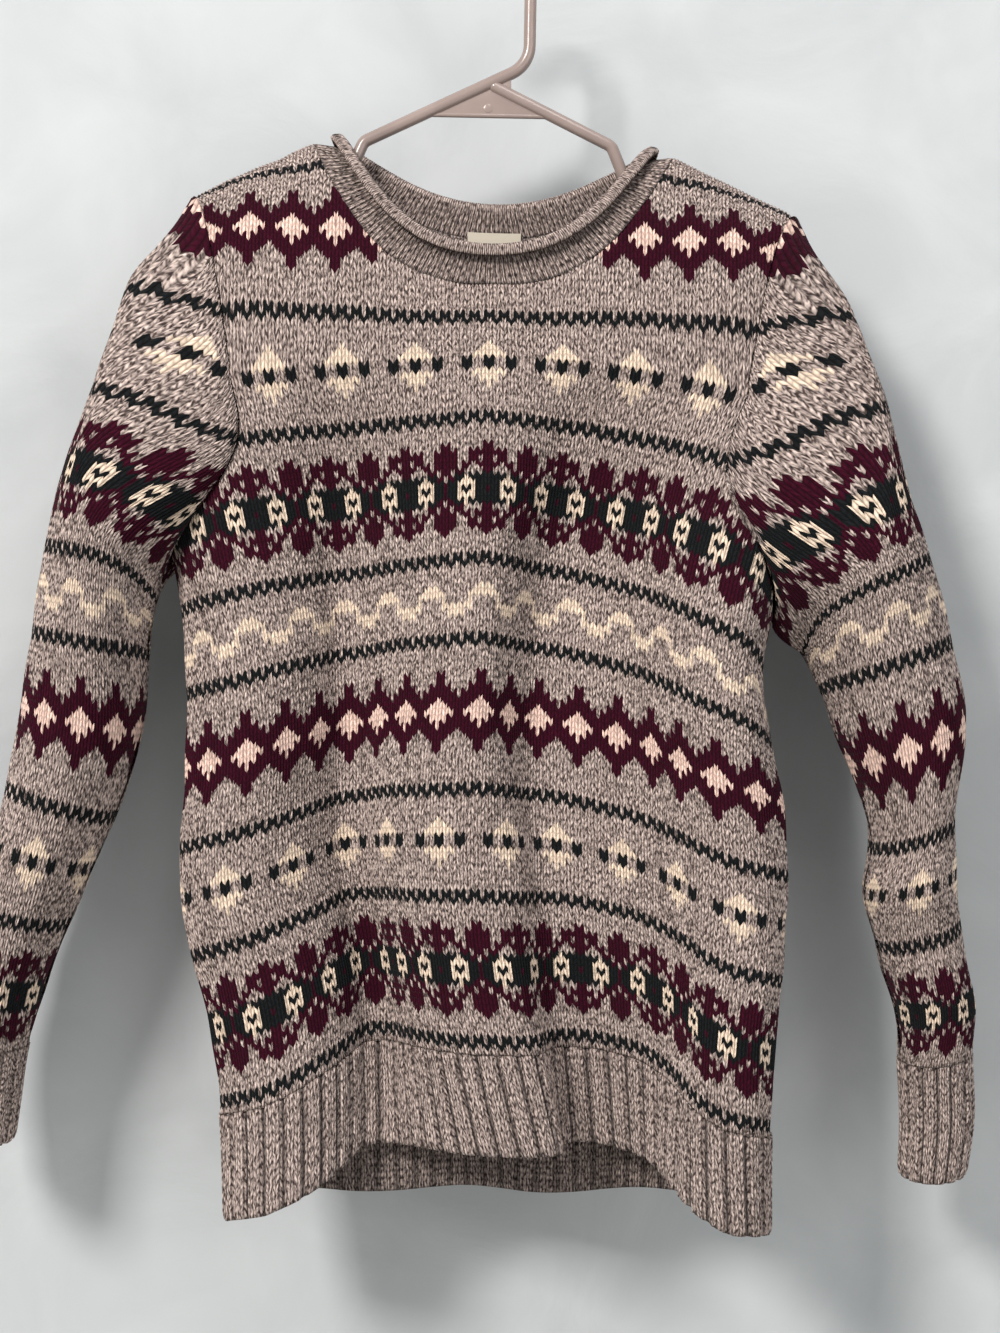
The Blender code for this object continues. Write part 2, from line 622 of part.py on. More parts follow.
# ======================================================================================
# Neckband
# ======================================================================================
def neckband():
    """A ribbed stand that leans in from the neck seam, and an edge that rolls outward."""
    place, normal, inward = NECK
    base = place + inward * SEAM_GAP / 2
    outer, inner = [base], [base - normal * BAND_WALL]
    edge = base + inward * BAND_STAND
    for _ in range(8):
        normal, inward, edge = (
            (np.roll(values, 1, axis=0) + 2 * values + np.roll(values, -1, axis=0)) / 4
            for values in (normal, inward, edge))
    normal, inward = unit(normal), unit(inward)
    for share in (0.5, 1):
        outer.append(base + (edge - base) * share)
        inner.append(outer[-1] - normal * BAND_WALL)
    centre = outer[-1] + normal * (ROLL_RADIUS - BAND_WALL / 2)
    for angle in np.radians((45, 90, 135, 180, 225)):
        spoke = -normal * math.cos(angle) + inward * math.sin(angle)
        outer.append(centre + spoke * (ROLL_RADIUS - BAND_WALL / 2))
        inner.append(centre + spoke * (ROLL_RADIUS + BAND_WALL / 2))
    return wall("neckband", np.stack(outer, axis=1), np.stack(inner, axis=1), RIBBING,
                closed=True)


# ======================================================================================
# The label, sewn into the back neck, and left bare
# ======================================================================================
def label():
    """A tape sewn over the neck seam, just inside the back."""
    x = np.linspace(-LABEL_WIDTH / 2, LABEL_WIDTH / 2, 5)[:, None]
    s = LABEL_STITCH + x / TOP_GAUGE
    t = neck_row(LABEL_STITCH, BACK_NECK) + 0.9 - np.linspace(LABEL_HEIGHT, 0, 4)[None, :] / ROW
    normals = cloth_normal(back_map, s, t)
    behind = back_map(s, t) - normals * (WALL + SEAM_GAP)
    return wall("label", behind, behind - normals * LABEL_THICK, TAPE)


# ======================================================================================
# The hanger: a bent tube with a web under the junction
# ======================================================================================
def rounded(corners, steps=4):
    """A route in the plane of the hanger. Each corner is x, z and its bend radius."""
    points = [Vector((corners[0][0], 0, corners[0][1]))]
    for before, (x, z, radius), after in zip(corners, corners[1:], corners[2:]):
        corner = Vector((x, 0, z))
        back = (Vector((before[0], 0, before[1])) - corner).normalized()
        ahead = (Vector((after[0], 0, after[1])) - corner).normalized()
        half = back.angle(ahead) / 2
        centre = corner + (back + ahead).normalized() * radius / math.sin(half)
        start = (corner + back * radius / math.tan(half) - centre).normalized()
        end = (corner + ahead * radius / math.tan(half) - centre).normalized()
        points += [centre + radius * start.slerp(end, k / steps) for k in range(steps + 1)]
    points.append(Vector((corners[-1][0], 0, corners[-1][1])))
    return [p for p, q in zip(points, points[1:]) if (p - q).length > 0.1] + points[-1:]


def tube(name, route, radius, sides=8):
    """A closed round tube along a route. Its first end is domed, its last end is flat."""
    first = (route[0] - route[1]).normalized()
    stations = [(route[0] + first * radius * out, radius * share)
                for out, share in ((0.9, 0.44), (0.45, 0.9))]
    stations += [(point, radius) for point in route]
    bm = bmesh.new()
    side = Vector((0, 1, 0))
    rings = []
    for i, (point, size) in enumerate(stations):
        ahead = stations[min(i + 1, len(stations) - 1)][0] - stations[max(i - 1, 0)][0]
        up = ahead.normalized().cross(side)
        rings.append([bm.verts.new(point + size * (up * math.cos(a) + side * math.sin(a)))
                      for a in (2 * math.pi * k / sides for k in range(sides))])
    for lower, upper in zip(rings, rings[1:]):
        for k in range(sides):
            m = (k + 1) % sides
            bm.faces.new((lower[k], lower[m], upper[m], upper[k]))
    bm.faces.new(rings[0][::-1])
    bm.faces.new(rings[-1])
    return finish(bm, name, PLASTIC)


def plate(name, outline, thickness):
    """A flat plate in the plane of the hanger."""
    bm = bmesh.new()
    face = bm.faces.new([bm.verts.new((x, -thickness / 2, z)) for x, z in outline])
    raised = bmesh.ops.extrude_face_region(bm, geom=[face])["geom"]
    moved = [item for item in raised if isinstance(item, bmesh.types.BMVert)]
    bmesh.ops.translate(bm, verts=moved, vec=(0, thickness, 0))
    return finish(bm, name, PLASTIC)


def arm(side):
    """Corners of an arm from the junction outward, round its end to the lower bar."""
    corners = [(NOTCH_X - 8, arm_line(NOTCH_X - 8), 8), (NOTCH_X + 3, arm_line(NOTCH_X) - 22, 6),
               (NOTCH_X + 24, arm_line(NOTCH_X + 24), 8), (ARM_REACH, arm_line(ARM_REACH), 6),
               (ARM_REACH - 1, BAR_HEIGHT, 7)]
    return [(side * x, z, radius) for x, z, radius in corners]


def hanger():
    """The hook runs into the left arm, round the lower bar and up the right arm's end;
    the right arm starts in front of the left one. One moulded piece."""
    hook = [(*HOOK_TIP, 0), (HOOK_TIP[0] + 6.2, HOOK_ROD, HOOK_RADIUS),
            (HOOK_RADIUS, HOOK_ROD, HOOK_RADIUS),
            (HOOK_RADIUS, 2 * JUNCTION - arm_line(HOOK_RADIUS), 20)]
    right = arm(1)
    whole = tube("hanger", rounded(hook + arm(-1) + right[::-1][:2] + [(150, arm_line(150), 0)]), TUBE)
    arm_tube = tube("arm", rounded([(4, arm_line(4), 0)] + right[:3] + [(152, arm_line(152), 0)]),
                    TUBE - 0.1)
    web = plate("web", WEB, WEB_THICK)
    rib = tube("rib", [Vector((x, 0, WEB[0][1])) for x in (WEB[0][0], WEB[1][0])], 1.6)
    for piece in (arm_tube, web, rib):
        union = whole.modifiers.new("union", "BOOLEAN")
        union.operation = "UNION"
        union.solver = "EXACT"
        union.object = piece
    bpy.context.view_layer.update()
    joined = whole.evaluated_get(bpy.context.evaluated_depsgraph_get())
    mesh = bpy.data.meshes.new_from_object(joined)
    whole.modifiers.clear()
    whole.data = mesh
    for piece in (arm_tube, web, rib):
        bpy.data.objects.remove(piece, do_unlink=True)
    mesh.transform(Matrix.Rotation(math.radians(TILT), 4, "Y"))
    return whole


body_panel("front", front_map, FRONT_NECK)
body_panel("back", back_map, BACK_NECK)
welt("front_welt", front_map)
welt("back_welt", back_map)
sleeve("sleeve_left", LEFT_SLEEVE)
sleeve("sleeve_right", RIGHT_SLEEVE)
cuff("cuff_left", LEFT_SLEEVE)
cuff("cuff_right", RIGHT_SLEEVE)
neckband()
label()
hanger()
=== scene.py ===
"""A fair isle jumper on a tubular hanger, knitted stitch by stitch over its plain solids."""

import math

import bmesh
import bpy
import numpy as np
from mathutils import Matrix, Vector


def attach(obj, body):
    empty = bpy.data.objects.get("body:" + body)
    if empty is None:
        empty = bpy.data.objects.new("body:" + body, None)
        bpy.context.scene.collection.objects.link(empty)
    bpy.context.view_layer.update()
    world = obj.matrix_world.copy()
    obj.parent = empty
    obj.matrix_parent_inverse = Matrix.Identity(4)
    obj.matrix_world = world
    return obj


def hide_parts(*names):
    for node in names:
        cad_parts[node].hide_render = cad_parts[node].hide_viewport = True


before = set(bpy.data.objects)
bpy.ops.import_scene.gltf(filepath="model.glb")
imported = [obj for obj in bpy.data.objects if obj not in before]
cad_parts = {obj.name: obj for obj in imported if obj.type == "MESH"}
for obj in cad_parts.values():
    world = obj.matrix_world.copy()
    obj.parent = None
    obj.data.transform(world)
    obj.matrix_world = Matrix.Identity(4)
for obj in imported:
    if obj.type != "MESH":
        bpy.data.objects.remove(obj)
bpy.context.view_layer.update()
MM = 0.001


# ==== Front and back =====================================================================
# Two panels of stranded knitting in marled wool, worked upwards from the welt in stocking
# stitch with bands of burgundy, black and cream, then shaped for armholes and neck. They
# hang from the shoulders over the hanger, and their folds deepen towards the hem.
ROW = 3.85
HALF_BODY = 54
WELT_ROWS = 16
UNDERARM = 104
CHEST = 128
SHOULDER_TIP = 167
SHOULDER_NECK = 174
ARMHOLE_HALF = 35.3
TIP_HALF = 42.6
NECK_HALF = 24.9
TOP_GAUGE = 4.72
TOP_MIDDLE = 3
FRONT_NECK = (140.8, 2.3)
BACK_NECK = (159, 2.0)
FRONT_HEM = -752
BACK_LOWER = 35
WALL = 3.0

TUBE = 4.0
ARM_SLOPE = 25.9
END_SLOPE = 24.5
NOTCH_X = 88
JUNCTION = -77.5
TILT = 1.1
CLOTH_RISE = 9

# row | stitch width | x and y of the middle | angle of the cloth every 6 stitches
ANGLE_AT = np.arange(-51, 52, 6)
FRONT_LEVELS = (
    (0, 4.35, 18, -82, (-55, -25, 30, 56, 60, -48, -44, -30, -10,
                        8, 105, 35, -36, -54, -74, -52, 0, 60)),
    (30, 4.38, -6, -78, (-48, -18, 28, 48, 66, -66, -64, -46, -20,
                         8, 72, 22, -26, -38, -56, -68, -20, 55)),
    (50, 4.40, -10, -72, (-46, -16, 28, 44, 56, -60, -56, -40, -12,
                          26, 66, 2, -26, -34, -54, -46, 0, 52)),
    (70, 4.40, -7, -64, (-48, -22, 32, 44, 60, -54, -46, -40, -16,
                         54, 54, -14, -22, -36, -60, -42, 8, 52)),
    (107, 4.42, -2, -48, (-60, -32, -6, 22, 42, -22, -30, -24, -12,
                          28, 48, 8, -24, -46, -50, -24, 40, 80)),
    (128, 4.62, -1, -42, (-38, -26, -16, -8, -2, 0, 0, 0, 0,
                          0, 0, 0, 0, 2, 8, 16, 28, 40)),
)
BACK_LEVELS = (
    (0, (82, 62, 10, -16, -24, 6, 24, 18, -20, -28, 8, 26, 14, -18, -10, -38, -72, -86)),
    (30, (82, 60, 8, -12, -16, 6, 18, 10, -14, -20, 6, 18, 10, -12, -14, -46, -78, -88)),
    (50, (82, 50, 6, -8, -10, 4, 12, 6, -10, -14, 4, 12, 6, -8, -14, -44, -76, -88)),
    (70, (82, 42, 6, -6, -6, 4, 8, 4, -8, -8, 4, 8, 4, -6, -12, -34, -70, -86)),
    (107, (44, 10, 2, -2, -4, 2, 4, 2, -2, -4, 2, 4, 2, -2, -6, -14, -40, -70)),
    (128, (20, 5, 1, 0, 0, 0, 0, 0, 0, 0, 0, 0, 0, 0, -1, -2, -6, -18)),
)
# how much lower than its middle each wale hangs
DROP_AT = (-54, -45, -36, -27, -15, 0, 15, 27, 36, 45, 54)
DROP_LEVELS = (
    (0, (46, 36, 19, 3, 0, 0, 0, 6, 18, 38, 44)),
    (30, (44, 34, 16, 4, 1, 0, 3, 10, 22, 38, 48)),
    (50, (42, 32, 20, 9, 3, 0, 7, 17, 28, 44, 52)),
    (70, (38, 31, 20, 12, 4, 0, 8, 20, 31, 46, 58)),
    (107, (30, 23, 16, 10, 5, 0, 8, 20, 32, 50, 72)),
    (128, (22, 17, 12, 8, 4, 0, 5, 14, 24, 33, 42)),
)


def unit(vectors):
    return vectors / np.maximum(np.linalg.norm(vectors, axis=-1, keepdims=True), 1e-9)


def spline_weights(knots, at):
    """Weights of a natural cubic spline: one row for each place, one column a knot."""
    knots = np.asarray(knots, float)
    count = len(knots)
    step = np.diff(knots)
    system = np.eye(count)
    right = np.zeros((count, count))
    for i in range(1, count - 1):
        system[i, i - 1:i + 2] = step[i - 1], 2 * (step[i - 1] + step[i]), step[i]
        right[i, i - 1:i + 2] = 6 / step[i - 1], -6 / step[i - 1] - 6 / step[i], 6 / step[i]
    bend = np.linalg.solve(system, right)
    at = np.clip(np.asarray(at, float), knots[0], knots[-1])
    left = np.clip(np.searchsorted(knots, at, side="right") - 1, 0, count - 2)
    b = ((at - knots[left]) / step[left])[..., None]
    a = 1 - b
    curve = (step[left] ** 2 / 6)[..., None]
    same = np.eye(count)
    return (a * same[left] + b * same[left + 1]
            + curve * ((a ** 3 - a) * bend[left] + (b ** 3 - b) * bend[left + 1]))


STEP = 0.25
ALONG = np.arange(-HALF_BODY, HALF_BODY + STEP / 2, STEP)
LEVELS = [level[0] for level in FRONT_LEVELS]


def walk(angles, width):
    """A course of stitches of one width, laid at the angles, from its first stitch."""
    angle = np.radians(np.interp(ALONG, ANGLE_AT, angles))
    middle = (angle[1:] + angle[:-1]) / 2
    x = np.concatenate([[0], np.cumsum(np.cos(middle))]) * STEP * width
    y = np.concatenate([[0], np.cumsum(np.sin(middle))]) * STEP * width
    return np.stack([x, y, np.zeros_like(x)], axis=1)


def front_courses():
    curves = []
    for (_, width, x, y, angles), (_, drops) in zip(FRONT_LEVELS, DROP_LEVELS):
        curve = walk(angles, width)
        curve += np.array([x, y, 0]) - curve[len(curve) // 2]
        curve[:, 2] = -np.interp(ALONG, DROP_AT, drops)
        curves.append(curve)
    return np.array(curves)


def back_courses(front):
    """The back runs from one side seam of the front to the other."""
    curves = []
    share = np.linspace(0, 1, len(ALONG))[:, None]
    for (_, width, *_), (_, angles), seams in zip(FRONT_LEVELS, BACK_LEVELS, front):
        curve = walk(angles, width)
        curve += seams[0] - curve[0]
        curve += share * (seams[-1] - curve[-1])
        sag = 1 - (np.abs(ALONG) / HALF_BODY) ** 4
        curve[:, 2] = seams[0, 2] + share[:, 0] * (seams[-1, 2] - seams[0, 2])
        curve[:, 2] = curve[:, 2] * (1 - sag) - BACK_LOWER * sag
        curves.append(curve)
    return np.array(curves)


FRONT_COURSES = front_courses()
BACK_COURSES = back_courses(FRONT_COURSES)


def hanging(courses, s, t):
    """Where the cloth hangs below the chest row."""
    weights = spline_weights(LEVELS, t)
    place = np.zeros(s.shape + (3,))
    for level, curve in enumerate(courses):
        for axis in range(3):
            place[..., axis] += weights[..., level] * np.interp(s, ALONG, curve[:, axis])
    place[..., 2] += FRONT_HEM + ROW * t
    return place


def arm_line(x):
    """Height of a hanger arm's centre line, without the tilt."""
    inner = np.minimum(np.abs(x), NOTCH_X) * math.tan(math.radians(ARM_SLOPE))
    outer = np.maximum(np.abs(x) - NOTCH_X, 0) * math.tan(math.radians(END_SLOPE))
    return JUNCTION - inner - outer


def ridge(x):
    """Height of the cloth where it crosses the arms of the hanger."""
    lean = math.tan(math.radians(TILT))
    return arm_line(x - arm_line(x) * lean) - x * lean + TUBE + CLOTH_RISE


def seam_row(s):
    run = (np.abs(s) - NECK_HALF) / (TIP_HALF - NECK_HALF)
    return SHOULDER_NECK - np.maximum(run, 0) * (SHOULDER_NECK - SHOULDER_TIP)


def neck_row(s, scoop):
    """Row of the neck edge: a rounded scoop from shoulder to shoulder."""
    lowest, power = scoop
    reach = np.clip(np.abs(s) / NECK_HALF, 0, 1)
    return SHOULDER_NECK - (SHOULDER_NECK - lowest) * (1 - reach ** power) ** (1 / power)


SCOOP_ROWS = 20
FLARE_ROW = 129


def panel_half(t):
    """Half width of a panel: straight to the underarm, then the armhole curve."""
    left = np.clip((UNDERARM + SCOOP_ROWS - t) / SCOOP_ROWS, 0, 1)
    scoop = (HALF_BODY - ARMHOLE_HALF) * left ** 2.4
    flare = (TIP_HALF - ARMHOLE_HALF) * np.clip((t - FLARE_ROW) / (SHOULDER_TIP - FLARE_ROW), 0, 1)
    return ARMHOLE_HALF + scoop + flare


def bezier(u, p0, p1, p2, p3):
    v = 1 - u
    return v ** 3 * p0 + 3 * v * v * u * p1 + 3 * v * u * u * p2 + u ** 3 * p3


SEAM = (14, -6)
FRONT_BEND = (-12, 22)
BACK_BEND = (22, -17)


ROWS_CLOSER = 0.35      # how much closer together the rows lie towards the shoulder
CLOSER_FROM = 0.25      # share of the way up from which they do
MIDDLE_LOWER = 0.5      # how much lower the rows lie below the neck
LOWER_REACH = 33        # wales to each side that lie lower
FLAT_WALES = 20         # wales to each side between which the ridge runs straight


def panel(courses, bend, first_y, lift, s, t):
    """Where a panel of the body lies: hanging, then bent over the hanger to the seam."""
    s, t = np.broadcast_arrays(np.asarray(s, float), np.asarray(t, float))
    place = hanging(courses, s, np.minimum(t, CHEST))
    u = np.clip((t - CHEST) / (seam_row(s) - CHEST), 0, 1)
    lower = MIDDLE_LOWER * np.clip(1 - (s / LOWER_REACH) ** 2, 0, 1)
    u = u + u * (1 - u) * (ROWS_CLOSER * (CLOSER_FROM - u) - lower)
    top_x = TOP_MIDDLE + TOP_GAUGE * s
    flat = (-FLAT_WALES, FLAT_WALES)
    straight = np.interp(s, flat, ridge(TOP_MIDDLE + TOP_GAUGE * np.array(flat)))
    top = np.where(np.abs(s) < FLAT_WALES, straight, ridge(top_x))
    x, y, z = place[..., 0], place[..., 1], place[..., 2]
    rise = top - z
    above = np.stack([x + (top_x - x) * u ** 1.5,
                      bezier(u, y, y + first_y, bend[0], SEAM[0]),
                      bezier(u, z, z + lift * rise, top + bend[1], top + SEAM[1])], axis=-1)
    return np.where((t > CHEST)[..., None], above, place)


def front_map(s, t):
    return panel(FRONT_COURSES, FRONT_BEND, 0, 0.6, s, t)


def back_map(s, t):
    return panel(BACK_COURSES, BACK_BEND, 4, 0.4, s, t)


def laid_on(cloth, outward, along=1.0, up=2.0):
    """A way to lay stitches on a map: their places and their outward normals."""
    def lay(s, t):
        across = cloth(s + along, t) - cloth(s - along, t)
        upward = cloth(s, t + up) - cloth(s, t - up)
        return cloth(s, t), unit(np.cross(across, upward)) * outward
    return lay


# the dyed yarns, and the charts of the bands from their top row down, in which a dot is
# the marled ground
YARNS = {
    "P": (0.820, 0.570, 0.475),
    "C": (0.800, 0.625, 0.480),
    "M": (0.036, 0.0020, 0.0095),
    "K": (0.008, 0.0090, 0.0095),
}
DARK_YARNS = "MK"
PEBBLES = "K. .K"
STARS = ("...M.. ...M.. ..MMM. .MMMMM MMMPMM MMPPPM MPPPPP "
         "MMPPPM MMMPMM .MMMMM ..MMM. ...M.. ...M..")
LOZENGES = (".....C.... ....CCC... ...CCCCC.. ..K..K..K. "
            "..K..K..K. ...CCCCC.. ....CCC... .....C....")
WAVE = "...CCC.. ..CCCCC. ..C...C. CCC...CC CC.....C"
ROSE_TOP = ("...M.....M.. .MMMMM..MMM. .M.M.M..MMM. M.MMM.M.MMM. ...M...M.M.M "
            "CKKKKKCKM.MK CCKKKCCCKMKC KCKMKCKCKMKC").split()
ROSES = " ".join(ROSE_TOP + ROSE_TOP[-2::-1])
# the row each band starts on, and the chart column that lies on the middle wale
BANDS = (
    (17, PEBBLES, 0), (22, ROSES, 9), (40, PEBBLES, 0), (46, LOZENGES, 0), (57, PEBBLES, 0),
    (64, STARS, 3), (81, PEBBLES, 0), (86, WAVE, 4), (94, PEBBLES, 0), (99, ROSES, 3),
    (117, PEBBLES, 0), (123, LOZENGES, 5), (134, PEBBLES, 0), (141, STARS, 0),
    (158, PEBBLES, 0),
)
WALES = 60
SPREAD = 0.2            # stitches that the fuzz of a dark yarn spreads to each side


def pattern(bands):
    """The yarn of every stitch, by row and wale."""
    table = np.full((180, 2 * WALES + 1), ".")
    for first, chart, centre in bands:
        for row, line in enumerate(chart.split()[::-1]):
            for wale in range(-WALES, WALES + 1):
                table[first + row, wale + WALES] = line[(wale + centre) % len(line)]
    return table


MARL_LIGHT = (0.70, 0.555, 0.490, 1)
MARL_DARK = (0.072, 0.050, 0.045)
# painted shade: the share of its colour that the inside of the knitting keeps
LINING_PAINTED_SHADE = 0.55
rng = np.random.default_rng(7)


def marl(count, shade=1.0):
    """Marled yarn: its dark ply, and in the fourth number how much of the light ply shows. shade
    scales both, to paint shade into grooves.
    """
    light = np.clip(rng.normal(0.88, 0.14, (count, 1)), 0.4, 1)
    return np.concatenate([np.tile(MARL_DARK, (count, 1)), light], axis=1) * shade


def dyed(table):
    """Colours of a stranded piece: its chart, with marled yarn as the ground, and painted shade on
    the lining.
    """
    def dye(wale, row, lining):
        row = np.clip(np.floor(row).astype(int), 0, len(table) - 1)
        left, right = (table[row, np.clip(np.round(wale + step).astype(int), -WALES, WALES) + WALES]
                       for step in (-SPREAD, SPREAD))
        colour = marl(len(wale))
        for key, value in YARNS.items():
            fuzzy = (left == key) | (right == key)
            chosen = (fuzzy if key in DARK_YARNS else (left == key) & (right == key)) & ~lining
            worn = rng.normal(1, 0.12, (chosen.sum(), 1)).clip(0.6, 1.4)
            colour[chosen] = np.array((*value, 0)) * worn
        # painted shade on the inside of the knitting
        colour[lining] *= LINING_PAINTED_SHADE
        return colour
    return dye


def legs(s):
    """Height of a stitch across its width: two legs with a groove between them."""
    return np.sin(2 * np.pi * np.abs(s - np.round(s)))


def ripple(s, t):
    """The slight unevenness of hand-finished stranded cloth."""
    return (0.34 * np.sin(0.61 * s + 0.17 * t + 1.3) + 0.3 * np.sin(0.23 * s - 0.41 * t)
            + 0.26 * np.sin(0.97 * s + 0.53 * t + 2.1))


LEG_HEIGHT = 0.95
LEG_FOOT = 0.35
SEAM_DEPTH = 1.1
SEAM_WIDTH = 0.9


def plain_height(s, t, edge):
    """Stocking stitch: legs, a slight unevenness, and a groove along the seams."""
    groove = SEAM_DEPTH * np.exp(-(edge / SEAM_WIDTH) ** 2)
    return LEG_HEIGHT * legs(s) - LEG_FOOT + ripple(s, t) - groove


def shown(name, data):
    """An object of its own in the scene."""
    made = bpy.data.objects.new(name, data)
    bpy.context.collection.objects.link(made)
    return made


def grid_places(mesh):
    """Where the vertices of a flat grid lie, from 0 to 1 each way."""
    flat = np.empty(len(mesh.vertices) * 3)
    mesh.vertices.foreach_get("co", flat)
    flat = flat.reshape(-1, 3)[:, :2]
    return (flat - flat.min(axis=0)) / (flat.max(axis=0) - flat.min(axis=0))


def grid_corners(mesh):
    """The vertex at each corner of each face, and the same as rows of four."""
    corner = np.empty(len(mesh.loops), int)
    mesh.loops.foreach_get("vertex_index", corner)
    return corner, corner.reshape(-1, 4)


def paint(mesh, corner, colour, wale, row):
    """Writes each face's colour, and the stitch and row of each corner as its UV."""
    yarn = mesh.color_attributes.new("yarn", "FLOAT_COLOR", "CORNER")
    yarn.data.foreach_set("color", np.repeat(colour, 4, axis=0).ravel())
    stitch_map = mesh.uv_layers.new(name="stitches")
    stitch_map.data.foreach_set("uv", np.stack([wale, row], axis=1)[corner].ravel())


LEAN = 0.9              # rows that a leg climbs from centre to edge
FINE = 4                # columns of faces in a stitch
JOINED = 3e-6           # vertices closer than this are one
TINY = 2e-9             # faces smaller than this were trimmed off


def knit(name, wales, rows, lay, trim, height, dye, turned=False, lined=1):
    """A piece of knitting: an outer skin with every stitch's legs, a plain lining, and the
    edge between them. A flat grid of stitches is trimmed to shape and laid on its map."""
    span, rise = wales[1] - wales[0], rows[1] - rows[0]
    grid = bmesh.new()
    skin = grid.verts.layers.int.new("lining")
    bmesh.ops.create_grid(grid, x_segments=int(span * FINE), y_segments=int(rise), size=0.5)
    inner = bmesh.ops.create_grid(grid, x_segments=int(span * lined), y_segments=int(rise),
                                  size=0.5)
    for vertex in inner["verts"]:
        vertex[skin] = 1
    bmesh.ops.reverse_faces(grid, faces=[f for f in grid.faces if f.verts[0][skin]])
    mesh = bpy.data.meshes.new(name)
    grid.to_mesh(mesh)
    grid.free()

    flat = grid_places(mesh)
    lining = np.empty(len(mesh.vertices), int)
    mesh.attributes["lining"].data.foreach_get("value", lining)
    lining = lining == 1
    across = 1 - flat[:, 0] if turned else flat[:, 0]
    s_flat = wales[0] + across * span
    t_flat = rows[0] + flat[:, 1] * rise
    ends = np.clip(np.minimum(t_flat - rows[0], rows[1] - t_flat), 0, 1)
    slant = np.where(lining, 0, LEAN * ends * (2 * np.abs(s_flat - np.round(s_flat)) - 0.5))
    s, t, edge = trim(s_flat, t_flat + slant)
    place, normal = lay(s, t)
    depth = np.where(lining, -WALL, height(s_flat, t, edge))[:, None]
    mesh.vertices.foreach_set("co", ((place + normal * depth) * MM).ravel())

    snapped = wales[0] + np.floor((s_flat - wales[0]) * lined + 0.5) / lined
    rim_s = np.where(np.abs(s_flat) - np.abs(s) > 1e-9, s_flat, snapped)
    rim_t = np.where(t_flat + slant - t > 1e-9, 2 * rows[1], t_flat)
    place, normal = lay(*trim(rim_s, rim_t)[:2])
    behind = mesh.attributes.new("behind", "FLOAT_VECTOR", "POINT")
    behind.data.foreach_set("vector", ((place - normal * WALL) * MM).ravel())

    corner, quads = grid_corners(mesh)
    colour = dye(s_flat[quads].mean(axis=1), t_flat[quads].mean(axis=1), lining[quads[:, 0]])
    paint(mesh, corner, colour, s_flat, t_flat)

    cloth = bmesh.new()
    cloth.from_mesh(mesh)
    spare = [f for f in cloth.faces if f.calc_area() < TINY]
    bmesh.ops.delete(cloth, geom=spare, context="FACES")
    bmesh.ops.remove_doubles(cloth, verts=cloth.verts, dist=JOINED)
    skin = cloth.verts.layers.int["lining"]
    behind = cloth.verts.layers.float_vector["behind"]
    border = [e for e in cloth.edges if e.is_boundary and not e.verts[0][skin]]
    rim = bmesh.ops.extrude_edge_only(cloth, edges=border)["geom"]
    for vertex in rim:
        if isinstance(vertex, bmesh.types.BMVert):
            vertex.co = vertex[behind]
    bmesh.ops.remove_doubles(cloth, verts=cloth.verts, dist=JOINED)
    cloth.verts.layers.int.remove(cloth.verts.layers.int["lining"])
    cloth.verts.layers.float_vector.remove(cloth.verts.layers.float_vector["behind"])
    cloth.to_mesh(mesh)
    cloth.free()
    mesh.shade_smooth()
    return shown(name, mesh)


def panel_trim(scoop):
    """Cuts a panel's grid to its sides, armholes, shoulders and neck."""
    def trim(s, t):
        half = panel_half(t)
        s = np.clip(s, -half, half)
        top = np.where(np.abs(s) < NECK_HALF, neck_row(s, scoop), seam_row(s))
        t = np.minimum(t, top)
        return s, t, np.minimum(panel_half(t) - np.abs(s), top - t)
    return trim


class Wire:
    """A shader socket that carries one number, so that node maths reads as plain sums."""

    def __init__(self, look, socket):
        self.look = look
        self.socket = socket

    def math(self, operation, *others):
        inputs = dict(enumerate((self, *others)))
        return self.look.node("Math", {"operation": operation}, inputs)

    def __add__(self, other):
        return self.math("ADD", other)

    def __sub__(self, other):
        return self.math("SUBTRACT", other)

    def __rsub__(self, other):
        return self.math("MULTIPLY", -1.0) + other

    def __mul__(self, other):
        return self.math("MULTIPLY", other)

    __radd__ = __add__
    __rmul__ = __mul__


class Look:
    """One material and its nodes."""

    def __init__(self, name, **settings):
        self.material = bpy.data.materials.new(name)
        self.material.use_nodes = True
        self.tree = self.material.node_tree
        self.surface = self.tree.nodes["Principled BSDF"]
        for socket, value in settings.items():
            self.surface.inputs[socket.replace("_", " ")].default_value = value

    def node(self, kind, settings, inputs, output=0):
        made = self.tree.nodes.new("ShaderNode" + kind)
        for key, value in settings.items():
            if key == "stops":
                for stop, (at, colour) in zip(made.color_ramp.elements, value):
                    stop.position = at
                    stop.color = (*colour, 1)
            else:
                setattr(made, key, value)
        for key, value in inputs.items():
            self.feed(made.inputs[key], value)
        return Wire(self, made.outputs[output])

    def feed(self, socket, value):
        if isinstance(value, Wire):
            self.tree.links.new(value.socket, socket)
        else:
            socket.default_value = value

    def shaded(self, colour, shade):
        """A colour times a number."""
        grey = self.node("CombineColor", {}, {0: shade, 1: shade, 2: shade})
        return self.node("Mix", {"data_type": "RGBA", "blend_type": "MULTIPLY"},
                         {"Factor": 1.0, 6: colour, 7: grey}, 2)

    def finish(self, **sockets):
        for socket, value in sockets.items():
            self.feed(self.surface.inputs[socket.replace("_", " ")], value)
        return self.material


